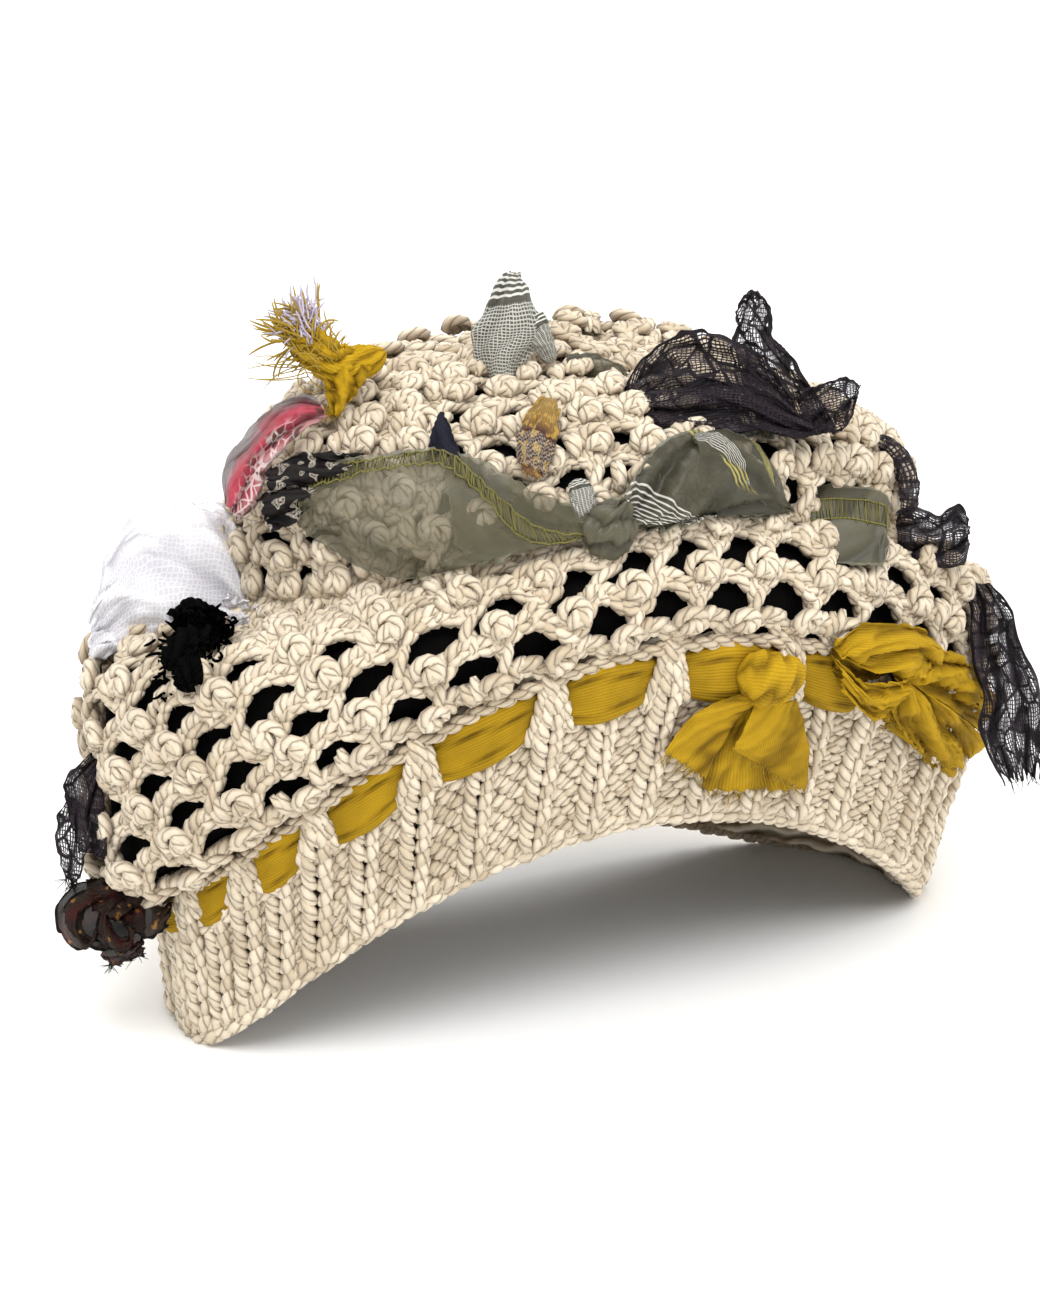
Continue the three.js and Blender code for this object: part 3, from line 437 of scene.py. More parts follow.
def add_net(strands, cells, detail):
    random = strands.random
    sides = detail
    count = len(cells)
    t = np.linspace(-0.62, 0.62, 25)[None] + np.array([c[2] for c in cells], float)[:, None]
    angle = np.stack([c[1].angle(ti) for c, ti in zip(cells, t)])
    skew = 0.06 * np.sin(TURN * (t - np.round(t)))
    low = random.normal(0, 1.1, (count, 1))
    garland = np.stack([c[1].height * (1 - np.cos(TURN * (ti + si - c[2]))) / 2
                        for c, ti, si in zip(cells, t, skew)])
    frames = [np.stack(items) for items in zip(*(c[1].frame(ti) for c, ti in zip(cells, t)))]
    blend = np.cos(math.pi * np.clip(t - t.mean(axis=1, keepdims=True), -0.5, 0.5)) ** 2
    wave = 0.5 * np.sin(3 * angle + t)
    upper = np.array([float(c[0] >= LOWER_ROWS) for c in cells])[:, None]
    normal = frames[3]
    position = (frames[0] + frames[2] * (garland + low * blend)[..., None]
                + normal * (wave + (0.6 + 1.4 * upper) * blend - 1.3 * upper)[..., None])
    inner = slice(2, 23)
    paths = path_frames(position[:, inner], normal[:, inner])
    plait(strands, paths, 4.4, 6.8, 1.85, 0.85, 1.72, sides=sides)

    # Uprights: two strands twisted together, from the row below up to this row's low point
    held = [k for k, c in enumerate(cells) if c[4] is not None]
    rows_below = [cells[k][4] for k in held]
    top_angle = np.array([cells[k][3] for k in held])
    top_length = np.array([float(cells[k][1].length_of(cells[k][3])) for k in held]) + low[held, 0]
    lean = 3.2 * np.clip(2.5 * np.cos(top_angle + 0.35), -1, 1) + random.normal(0, 0.6, len(held))
    foot_angle = top_angle - lean / frames[4][held, 12]
    foot_length = np.array([float(r.cord(a)) for r, a in zip(rows_below, foot_angle)])
    keep = (top_length - foot_length) < 26
    top_angle, top_length, foot_angle, foot_length = (
        a[keep][:, None] for a in (top_angle, top_length, foot_angle, foot_length))
    s = np.linspace(0, 1, 8)[None]
    run_angle = foot_angle + (top_angle - foot_angle) * s
    run_length = foot_length - 1.5 + (top_length - foot_length + 3.2) * s
    position, normal = SURFACE.place(run_angle, run_length, 1.4 - 2.6 * (s - 0.5) ** 2)
    posts = path_frames(position, normal)
    for sign in (-1, 1):
        strand_runs(strands, posts, 8, sides, 1.62,
                    lambda q, g=sign: g * 1.35 * np.cos(1.9 * math.pi * (q - 0.3)),
                    lambda q, g=sign: g * 1.15 * np.sin(1.9 * math.pi * (q - 0.3)))

    # Bobbles: a curled strand with two short stitches in its middle, above each low point
    size = random.normal(1.0, 0.06, count)[:, None]
    mirror = np.where(random.uniform(size=count) < 0.25, -1, 1)[:, None]
    roll = random.normal(-0.25, 0.3, count)[:, None]
    shift = random.normal(0, 0.5, (2, count))

    def stitch(which, u, v, lift, radius):
        """A strand in the frame of each cell's low point: u along the row, v up the wall."""
        start, along, up, out = (frames[k][which, 12][:, None] for k in range(4))
        v = v + low[which]
        centre = start + along * u[..., None] + up * v[..., None] + out * (lift - (u ** 2 + v ** 2) / 160)[..., None]
        strands.add(centre, np.broadcast_to(out, centre.shape), radius * np.ones_like(u), sides)

    def bobble(u, v, lift, radius):
        u, v = mirror * u * size, v * size
        u, v = u * np.cos(roll) - v * np.sin(roll), u * np.sin(roll) + v * np.cos(roll)
        u = u + 1.7 + shift[0][:, None]
        v = v + 5.6 + shift[1][:, None]
        stitch(slice(None), u, v, lift + 0.3 * upper + 0 * u, radius)

    q = np.linspace(0, 1, 12)[None]
    turn = math.radians(225) - q * math.radians(400)
    reach = 3.9 - 2.0 * q ** 1.4
    thick = 1.78 * np.minimum(1, 0.45 + 2.5 * np.minimum(q, 1 - q) * 2)
    bobble(reach * np.cos(turn), reach * np.sin(turn) * 0.95, 1.9 + 1.5 * np.sin(math.pi * np.minimum(q * 1.15, 1)) + 1.3 * q, thick)
    q = np.linspace(0, 1, 6)[None]
    thick = 1.68 * np.array([[0.45, 0.95, 1.05, 1.05, 0.9, 0.45]])
    bobble(-2.0 + 2.6 * q, -3.4 + 4.6 * q, 2.2 + 1.9 * np.sin(math.pi * q), thick)
    bobble(2.2 - 1.5 * q, -3.6 + 5.6 * q, 2.4 + 2.0 * np.sin(math.pi * q), thick)

    # Filled openings: two plump stitches lean over the gap beside a bobble
    chance = np.array([filled(c[0], c[3]) for c in cells])
    held = np.nonzero(random.uniform(size=count) < chance)[0]
    if len(held) == 0:
        return
    for shift_u, lean, rise in ((-3.9, 1.6, 0.2), (-5.3, -0.8, -0.5)):
        wobble = random.normal(0, 0.5, (3, len(held), 1))
        u = shift_u + lean * (q - 0.5) + 0.6 * wobble[0]
        v = 2.2 + (7.6 + wobble[1]) * q + rise
        stitch(held, u, v, 0.6 + 2.2 * np.sin(math.pi * q) + 0.3 * wobble[2] + 0 * u,
               1.75 * np.array([[0.5, 1.0, 1.1, 1.1, 0.95, 0.5]]))


# ---- Ribbed band ----

def rib_angles():
    angles = np.radians(LOOP_ANGLES + [LOOP_ANGLES[0] + 360])
    middles = (angles[:-1] + angles[1:]) / 2
    return angles[:-1], middles


def meridians(angle, low, high, lift, samples=30, lean=0.0):
    """Paths up the wall at the given angles, between two lengths."""
    s = np.linspace(0, 1, samples)[None]
    length = low[:, None] + (high - low)[:, None] * s
    turn = angle[:, None] + lean * s / SURFACE.per_radian(angle, low)[:, None]
    position, normal = SURFACE.place(turn, length, lift(s))
    return path_frames(position, normal)


def add_band(strands):
    loops, middles = rib_angles()
    low_edge = lambda a: np.full_like(a, 3.0)
    channel = lambda a: SURFACE.length_at(a, CHANNEL_LOW)
    crest = lambda s: 3.0 + 0 * s
    plait(strands, meridians(middles, low_edge(middles), channel(middles) - 1, crest),
          4.7, 7.6, 2.55, 0.9, 1.78, sides=6)
    tips = SURFACE.length_at(loops, COLLAR) + 0.5
    rise = lambda s: 3.0 + 1.5 * np.clip((s - 0.45) / 0.3, 0, 1) - 1.6 * np.clip((s - 0.85) / 0.15, 0, 1)
    narrow = lambda s: 1.0 + 0.12 * np.sin(math.pi * s) - 0.72 * np.clip((s - 0.72) / 0.28, 0, 1)
    plait(strands, meridians(loops, low_edge(loops), tips, rise), 4.7, 7.6, 2.55, 0.9, 1.78,
          taper=narrow, sides=7)

    # The flank of each loop runs down from its tip to the band's edge
    for side in (-1, 1):
        per_radian = SURFACE.per_radian(loops, tips)
        foot = channel(loops) - 1.0
        s = np.linspace(0, 1, 20)[None]
        reach = side * (6.4 - 4.6 * s ** 0.8)
        position, normal = SURFACE.place(loops[:, None] + reach / per_radian[:, None],
                                         foot[:, None] + (tips - foot)[:, None] * 0.86 * s,
                                         3.2 + 0.9 * np.sin(math.pi * s))
        flank = path_frames(position, normal)
        plait(strands, flank, 4.4, 6.4, 1.0, 0.6, 1.45, sides=6)

    # Purl bumps in the valleys between ribs
    ribs = np.sort(np.concatenate([loops, middles]))
    nexts = np.append(ribs[1:], ribs[0] + TURN)
    valleys = (ribs + nexts) / 2
    half_gap = (nexts - ribs) / 2 * SURFACE.per_radian(valleys, np.full_like(valleys, 15.0)) - 3.2
    bump = np.linspace(-1, 1, 6)[None]
    thick = 1.85 * np.array([[0.5, 0.95, 1.05, 1.05, 0.95, 0.5]])
    for k in range(13):
        length = 3.6 + 2.95 * k
        held = length < channel(valleys) - 0.5
        if not held.any():
            continue
        a, wide = valleys[held], np.maximum(half_gap[held], 2.0)[:, None]
        parts = ((-0.5, 0.5), (0.5, 0.5)) if k % 2 else ((0.0, 0.5), (-0.95, 0.36), (0.95, 0.36))
        for middle, half in parts:
            u = (middle + half * bump) * wide + strands.random.normal(0, 0.15, (len(a), 1))
            v = length - 0.9 * bump ** 2 + strands.random.normal(0, 0.2, (len(a), 1))
            position, normal = SURFACE.place(
                a[:, None] + u / SURFACE.per_radian(a, np.full_like(a, length))[:, None], v,
                1.9 - 1.3 * bump ** 2 + 0 * u)
            strands.add(position, normal, thick * np.ones((len(a), 1)), 6)

    # Rope edge of the rim, cast-off edge under the ribbon and foundation yarn above it
    for length_of, lift, half, radius, pitch, leg in (
            (lambda a: 2.1 + 0 * a, 1.1, 2.1, 2.0, 4.6, 7.0),
            (lambda a: channel(a) - 0.8, 1.3, 1.2, 1.35, 4.4, 6.4)):
        a = np.linspace(0, TURN, 1400)[None]
        position, normal = SURFACE.place(a, length_of(a), lift + 0 * a)
        plait(strands, path_frames(position, normal), pitch, leg, half, 0.8, radius, sides=7)
    for start in (0, math.pi):
        a = np.linspace(0, TURN, 460)[None]
        turn = 76 * a + start + 0.8 * np.sin(7 * a)
        length = SURFACE.length_at(a, COLLAR) + 1.25 * np.cos(turn)
        position, normal = SURFACE.place(a, length, 2.4 + 1.15 * np.sin(turn))
        strands.add(position, normal, 1.4 * np.ones(a.shape), 5)


def wrap_band(name, low, high, inner, outer, material, nodes, columns=304, rows=3):
    """A closed wall round the cap between two lengths and two lifts, as functions of angle."""
    bm = bmesh.new()
    bmesh.ops.create_grid(bm, x_segments=columns, y_segments=4 * rows, size=1.0, calc_uvs=False)
    co = np.array([v.co for v in bm.verts])
    angle = (co[:, 0] + 1) / 2 * TURN
    turn = (co[:, 1] + 1) * 2
    side = np.minimum(turn.astype(int), 3)
    part = turn - side
    bottom, top = low(angle), high(angle)
    near = inner(angle, part * 0)
    span = top - bottom
    length = np.select([side == 0, side == 1, side == 2], [bottom + span * part, top, top - span * part], bottom)
    lift = np.select(
        [side == 0, side == 1, side == 2],
        [outer(angle, part), outer(angle, 1 + 0 * part) * (1 - part) + near * part, near],
        near * (1 - part) + outer(angle, 0 * part) * part)
    point, _ = SURFACE.place(angle, length, lift)
    point[:, 2] = np.maximum(point[:, 2], 0.05)
    for vertex, place in zip(bm.verts, point * MM):
        vertex.co = place
    bmesh.ops.remove_doubles(bm, verts=bm.verts, dist=1e-6)
    bmesh.ops.recalc_face_normals(bm, faces=bm.faces)
    mesh = bpy.data.meshes.new(name)
    bm.to_mesh(mesh)
    bm.free()
    mesh.shade_smooth()
    return settle(name, mesh, material, nodes)


# ---- Sight lines, for cloths placed as they are seen ----

class Sight:
    """Lines from the viewer's eye through places in the sight plane, in millimetres."""

    columns = 144
    samples = 100

    def __init__(self):
        azimuth, elevation = math.radians(SIGHT_AZIMUTH), math.radians(SIGHT_ELEVATION)
        self.towards = np.array([math.sin(azimuth) * math.cos(elevation),
                                 -math.cos(azimuth) * math.cos(elevation), math.sin(elevation)])
        self.across = np.array([math.cos(azimuth), math.sin(azimuth), 0.0])
        self.up = np.cross(self.towards, self.across)
        self.eye = SIGHT_PIVOT + self.towards * EYE_DISTANCE
        self.grid = SURFACE.point[::SURFACE.columns // self.columns, ::SURFACE.samples // self.samples]
        i, j = np.meshgrid(np.arange(self.columns), np.arange(self.samples), indexing="ij")
        wide = self.samples + 1
        faces = np.stack([i * wide + j, (i + 1) * wide + j, (i + 1) * wide + j + 1, i * wide + j + 1], -1)
        self.tree = BVHTree.FromPolygons([Vector(p) for p in self.grid.reshape(-1, 3)],
                                         faces.reshape(-1, 4).tolist())

    def direction(self, across, up):
        return unit(SIGHT_PIVOT + self.across * across[..., None] + self.up * up[..., None] - self.eye)

    def seen(self, across, up):
        """Angle and length up the wall where each sight line meets the cap, or where it passes
        nearest, and how far off it passes."""
        lines = self.direction(across, up).reshape(-1, 3)
        found = []
        for line in lines:
            point, _, face, _ = self.tree.ray_cast(Vector(self.eye), Vector(line))
            off = 0.0
            if point is None:
                far = EYE_DISTANCE
                for reach in (90.0, 9.0, 1.0):
                    steps = [far + reach * k / 10 for k in range(-10, 11)]
                    near = [self.tree.find_nearest(Vector(self.eye + line * step)) for step in steps]
                    best = min(range(len(steps)), key=lambda k: near[k][3])
                    far, (point, _, face, off) = steps[best], near[best]
            i, j = divmod(face, self.samples)
            corner, right, top = self.grid[i, j], self.grid[i + 1, j], self.grid[i, j + 1]
            away, a, b = np.array(point) - corner, right - corner, top - corner
            found.append((i + away @ a / max(a @ a, 1e-6), j + away @ b / max(b @ b, 1e-6), off))
        found = np.array(found).reshape(*across.shape, 3)
        angle = np.clip(found[..., 0] / self.columns, 0, 1) * TURN
        share = np.clip(found[..., 1] / self.samples, 0, 1)
        return angle, share * SURFACE.length_at(angle, float(TOP_LEVEL)), found[..., 2]


SIGHT = Sight()
BAND_SEAT = 5.4
NET_SEAT = 4.2


def seat(angle, length):
    """How far off the wall's middle a lying cloth starts: over the ribs or over the net."""
    low, high = SURFACE.length_at(angle, 2.1), SURFACE.length_at(angle, 2.5)
    return BAND_SEAT + (NET_SEAT - BAND_SEAT) * np.clip((length - low) / (high - low), 0, 1)


def smooth_rows(values, u):
    """Smooth values between table rows at shares 0 to 1."""
    place = np.clip(u, 0, 1) * (len(values) - 1)
    k = np.minimum(place.astype(int), len(values) - 2)
    t = (place - k)[..., None]
    p0, p1 = values[np.maximum(k - 1, 0)], values[k]
    p2, p3 = values[k + 1], values[np.minimum(k + 2, len(values) - 1)]
    return p1 + 0.5 * t * (p2 - p0 + t * (2 * p0 - 5 * p1 + 4 * p2 - p3 + t * (3 * (p1 - p2) + p3 - p0)))


def ripple(seed, u, v, octaves=4, low=1.0):
    """Smooth seeded unevenness between about -1 and 1."""
    random = np.random.default_rng(seed)
    total = 0
    for k in range(octaves):
        a, b, phase = random.uniform(low, low + 2.2 * (k + 1), 3)
        total = total + np.sin(TURN * (a * u + b * v) + 3 * phase) / (k + 1)
    return total / 1.6


class Cloth:
    """One tied-on sheet by its table row: its surface at shares u along it and v across it."""

    def __init__(self, row, seed):
        self.row = row
        self.seed = seed
        self.table = np.array(row["rows"], float)
        self.depth = None
        if row["on"] == "root":
            across, up = np.array([row["root"][0]]), np.array([row["root"][1]])
            angle, length, _ = SIGHT.seen(across, up)
            point, _ = SURFACE.place(angle, length, seat(angle, length))
            self.depth = float((point[0] - SIGHT.eye) @ SIGHT.towards)

    def lift(self, u, v):
        """Fold, dome and curl over the resting surface, and the same folds as a painted shade from 0 to 1, darker
        where the folds sink.
        """
        row = self.row
        w = 2 * v - 1
        turn = math.pi * row["waves"] * w + row["phase"] + TURN * row.get("drift", 0.4) * u
        turn = turn + 1.1 * ripple(self.seed, u, 0.6 * v, 3, 0.4)
        wave = 0.8 * np.sin(turn) + 0.25 * np.sin(2.3 * turn + 0.8)
        fine = ripple(self.seed + 50, u * 1.5, v * 1.8)
        height = row["fold"] * (wave + 0.22 * fine) + row.get("dome", 0.0) * (1 - w ** 2)
        frill = ripple(self.seed + 9, u, v)
        height = height + row.get("ruffle", 0.0) * (
            np.abs(w) ** 3 * np.sin(TURN * 4.5 * u + 3 * frill) + u ** 3 * np.sin(TURN * 3.5 * v + 3 * frill))
        return height, np.clip(row.get("shade", 0.55) + 0.32 * wave + 0.16 * fine, 0, 1)

    def at(self, u, v, off=0.0):
        """Points in millimetres, outward directions and shade."""
        rows = smooth_rows(self.table, u)
        bow = np.array(self.row.get("bow", (0.0, 0.0)))
        belly = (4 * v * (1 - v) * u)[..., None]
        flat = rows[..., :2] * (1 - v[..., None]) + rows[..., 2:4] * v[..., None] + bow * belly
        edge = self.row.get("wavy", 0.5) * (0.3 + 0.7 * np.maximum(u, np.abs(2 * v - 1)) ** 2)
        flat = flat + edge[..., None] * np.stack([ripple(self.seed + 21, 1.3 * u, 1.6 * v),
                                                  ripple(self.seed + 22, 1.6 * u, 1.3 * v)], -1)
        height, shade = self.lift(u, v)
        height = height + rows[..., 4] + off
        if self.depth is None:
            angle, length, beyond = SIGHT.seen(flat[..., 0], flat[..., 1])
            point, out = SURFACE.place(angle, length,
                                       seat(angle, length) * (beyond < 0.1) + np.maximum(height, -0.8) + beyond)
            return point, out, shade
        height = height + self.row.get("tilt", 0.0) * (0.5 - v)
        line = SIGHT.direction(flat[..., 0], flat[..., 1])
        far = (self.depth + height) / (line @ SIGHT.towards)
        return SIGHT.eye + line * far[..., None], np.broadcast_to(SIGHT.towards, line.shape), shade

    def torn(self, u, v):
        """Shares pulled in from the torn edges."""
        first, last, end = self.row.get("fray", (0, 0, 0))
        jag = 0.5 + 0.5 * ripple(self.seed + 3, 2.2 * v, 0 * v, 5, 2.0)
        u = u - end * 0.10 * jag * u ** 7
        jag = 0.5 + 0.5 * ripple(self.seed + 4, 3.0 * u, 0 * u, 5, 2.0)
        v = v + (first * (1 - v) ** 9 - last * v ** 9) * 0.06 * jag
        return u, v


CLOTH_DETAIL = 0.8


def sheet_mesh(name, place, along, across):
    """A grid moved to place(u, v), with its UV map in metres, its shares and its painted shade."""
    bm = bmesh.new()
    bmesh.ops.create_grid(bm, x_segments=along, y_segments=across, size=1.0, calc_uvs=False)
    bm.verts.ensure_lookup_table()
    co = np.array([v.co for v in bm.verts])
    u, v = (co[:, 0] + 1) / 2, (co[:, 1] + 1) / 2
    point, shade = place(u, v)
    wide, deep = along + 1, across + 1
    grid = point.reshape(deep, wide, 3)
    steps = np.linalg.norm(np.diff(grid, axis=1), axis=2).mean(axis=0)
    lengths = np.concatenate([[0], np.cumsum(steps)])
    steps = np.linalg.norm(np.diff(grid, axis=0), axis=2).mean(axis=1)
    widths = np.concatenate([[0], np.cumsum(steps)])
    slant = np.cross(np.diff(grid, axis=0)[:, 1:], np.diff(grid, axis=1)[1:])
    area = float(np.linalg.norm(slant, axis=2).sum())
    metres = bm.loops.layers.uv.new("UVMap")
    shares = bm.loops.layers.uv.new("Share")
    depth = bm.verts.layers.float.new("shade")
    for vertex, where, dark in zip(bm.verts, point * MM, shade):
        vertex.co = where
        vertex[depth] = dark
    for face in bm.faces:
        for loop in face.loops:
            row, column = divmod(loop.vert.index, wide)
            loop[metres].uv = (lengths[column] * MM, widths[row] * MM)
            loop[shares].uv = (column / along, row / across)
    mesh = bpy.data.meshes.new(name)
    bm.to_mesh(mesh)
    bm.free()
    mesh.shade_smooth()
    return mesh, (area / lengths[-1] * MM, lengths[-1] * MM)


def add_sheet(row, seed):
    """One tied-on cloth with its thickness and its flat size."""
    cloth = Cloth(row, seed)

    def place(u, v):
        point, _, shade = cloth.at(*cloth.torn(u, v))
        return point, shade
    across, along = (max(int(n * CLOTH_DETAIL), 12) for n in row["grid"])
    name = row["name"] + "_cloth"
    mesh, flat = sheet_mesh(name, place, along, across)
    point = np.array([v.co for v in mesh.vertices])
    point[:, 2] = np.maximum(point[:, 2], 0.001)
    mesh.vertices.foreach_set("co", point.ravel())
    piece = settle(name, mesh, MATERIALS[row["look"]], [row["node"]])
    wall = piece.modifiers.new("Thickness", "SOLIDIFY")
    wall.thickness = row.get("thickness", 0.35) * MM
    wall.offset = 0
    return cloth


def add_bundle(row, seed):
    """Cloth gathered into a knot or a twist: a ball drawn out along its table's rows."""
    table = np.array(row["rows"], float)
    if row["on"] == "root":
        base = Cloth({**row, "waves": 0, "phase": 0, "fold": 0}, seed)
        line = SIGHT.direction(table[:, 0], table[:, 1])
        far = (base.depth + table[:, 2]) / (line @ SIGHT.towards)
        middle = SIGHT.eye + line * far[:, None]
        out = np.broadcast_to(SIGHT.towards, middle.shape)
    else:
        angle, length, beyond = SIGHT.seen(table[:, 0], table[:, 1])
        middle, out = SURFACE.place(angle, length, seat(angle, length) + table[:, 2] + beyond)
    packed = np.concatenate([middle, out, table[:, 3:5]], axis=1)
    around, along = row["grid"]
    bm = bmesh.new()
    bmesh.ops.create_uvsphere(bm, u_segments=around, v_segments=along, radius=1.0)
    co = np.array([v.co for v in bm.verts])
    share = np.arccos(np.clip(co[:, 2], -1, 1)) / math.pi
    turn = np.arctan2(co[:, 1], co[:, 0])
    turn[np.abs(co[:, 2]) > 0.99999] = 0
    here = smooth_rows(packed, share)
    ahead, behind = smooth_rows(packed, share + 0.03), smooth_rows(packed, share - 0.03)
    along_way = unit(ahead[:, :3] - behind[:, :3])
    side = unit(np.cross(here[:, 3:6], along_way))
    face = np.cross(along_way, side)
    spiral = row["pleats"] * (turn + row["twist"] * TURN * (share - 0.5)) + 1.5 * ripple(seed, share, turn * 0)
    pleat = np.abs(np.sin(spiral / 2))
    rough = row.get("rough", 0.35) * ripple(seed + 5, 2.5 * share, turn / TURN * 0 + np.sin(turn) * 0.7)
    close = np.minimum(1, np.sin(math.pi * np.clip(share, 0, 1)) * 2.6) ** 0.6
    deep = row.get("deep", 0.26)
    swell = (1.08 - deep + deep * pleat ** 0.8) * close
    point = (here[:, :3] + side * ((here[:, 6] * swell + rough * close) * np.cos(turn))[:, None]
             + face * ((here[:, 7] * swell + rough * close) * np.sin(turn))[:, None])
    depth = bm.verts.layers.float.new("shade")
    metres = bm.loops.layers.uv.new("UVMap")
    shares = bm.loops.layers.uv.new("Share")
    lengths = float(np.linalg.norm(np.diff(middle, axis=0), axis=1).sum())
    rounds = float(table[:, 3:5].sum(axis=1).mean() * math.pi)
    bm.verts.ensure_lookup_table()
    for face_item in bm.faces:
        turns = [turn[loop.vert.index] for loop in face_item.loops]
        for loop, angle in zip(face_item.loops, turns):
            if max(turns) - min(turns) > math.pi and angle < 0:
                angle += TURN
            at = share[loop.vert.index]
            loop[metres].uv = (at * lengths * MM, angle / TURN * rounds * MM)
            loop[shares].uv = (at, angle / TURN % 1)
    # Painted shade: darker in the troughs between pleats
    for vertex, where, value in zip(bm.verts, point * MM, pleat):
        vertex.co = where
        vertex[depth] = 0.25 + 0.6 * value
    bmesh.ops.recalc_face_normals(bm, faces=bm.faces)
    mesh = bpy.data.meshes.new(row["name"] + "_gathered")
    bm.to_mesh(mesh)
    bm.free()
    mesh.shade_smooth()
    return settle(row["name"] + "_gathered", mesh, MATERIALS[row["look"]], [row["node"]])


def add_fray(strands, cloth, count, reach, radius=0.13):
    """Loose threads along the torn edges of a cloth."""
    random = strands.random
    edges = [k for k, on in enumerate(cloth.row.get("fray", (0, 0, 0))) if on]
    for edge in edges:
        t = random.uniform(0.03, 0.97, count)
        step = np.full(count, 0.06)
        start = {0: (t, 0.02 + 0 * t), 1: (t, 0.98 + 0 * t), 2: (0.985 + 0 * t, t)}[edge]
        back = {0: (t, step), 1: (t, 1 - step), 2: (1 - step, t)}[edge]
        first, out, _ = cloth.at(*cloth.torn(*start), 0.1)
        second, _, _ = cloth.at(*cloth.torn(*back), 0.1)
        way = unit(first - second)
        side = np.cross(out, way)
        bend = random.normal(0, 1, (count, 1, 1))
        lean = random.normal(0, 0.35, (count, 1, 1))
        far = reach * random.uniform(0.35, 1.3, (count, 1, 1))
        q = np.linspace(-0.15, 1, 6)[None, :, None]
        drop = random.normal(0, 0.25, (count, 1, 1))
        centre = (first[:, None] + way[:, None] * far * q + side[:, None] * far * (lean * q + 0.25 * bend * q ** 2)
                  + out[:, None] * far * drop * q ** 2)
        strands.add(centre, np.broadcast_to(out[:, None], centre.shape),
                    radius * np.array([[1, 1, 1, 0.9, 0.8, 0.5]]) * np.ones((count, 1)), 3)


def add_tuft(strands, row):
    """Loose threads that spring from one place of a torn end, bent and a little curled."""
    random = strands.random
    count = row["count"]
    base = Cloth({**row, "on": "root", "waves": 0, "phase": 0, "fold": 0, "rows": [[0, 0, 0, 0, 0]] * 2}, 0)
    spread = random.normal(0, 1, (count, 2)) * row["size"]
    starts = np.array(row["start"]) + spread
    heading = math.radians(row["heading"]) + random.normal(0, math.radians(row["fan"]), count)
    reach = row["reach"] * random.uniform(0.45, 1.15, count)
    bend = random.normal(0, row["curl"], count)
    q = np.linspace(0, 1, row.get("rings", 8))[None]
    turn = heading[:, None] + bend[:, None] * q * 1.6
    step = reach[:, None] * (q[:, 1:] - q[:, :-1])
    across = starts[:, :1] + np.concatenate([0 * q[:, :1] * reach[:, None], np.cumsum(step * np.cos(turn[:, 1:]), 1)], 1)
    up = starts[:, 1:] + np.concatenate([0 * q[:, :1] * reach[:, None], np.cumsum(step * np.sin(turn[:, 1:]), 1)], 1)
    near = row.get("near", 0.0) + random.normal(0, row["size"], (count, 1)) + reach[:, None] * q * random.normal(
        0, 0.35, (count, 1)) + np.sin(q * 5 + turn) * row["curl"]
    line = SIGHT.direction(across, up)
    far = (base.depth + near) / (line @ SIGHT.towards)
    centre = SIGHT.eye + line * far[..., None]
    thick = row["radius"] * np.concatenate([np.ones(q.shape[1] - 2), [0.8, 0.5]])
    strands.add(centre, np.broadcast_to(SIGHT.towards, centre.shape), thick[None] * np.ones((count, 1)),
                row.get("sides", 4))


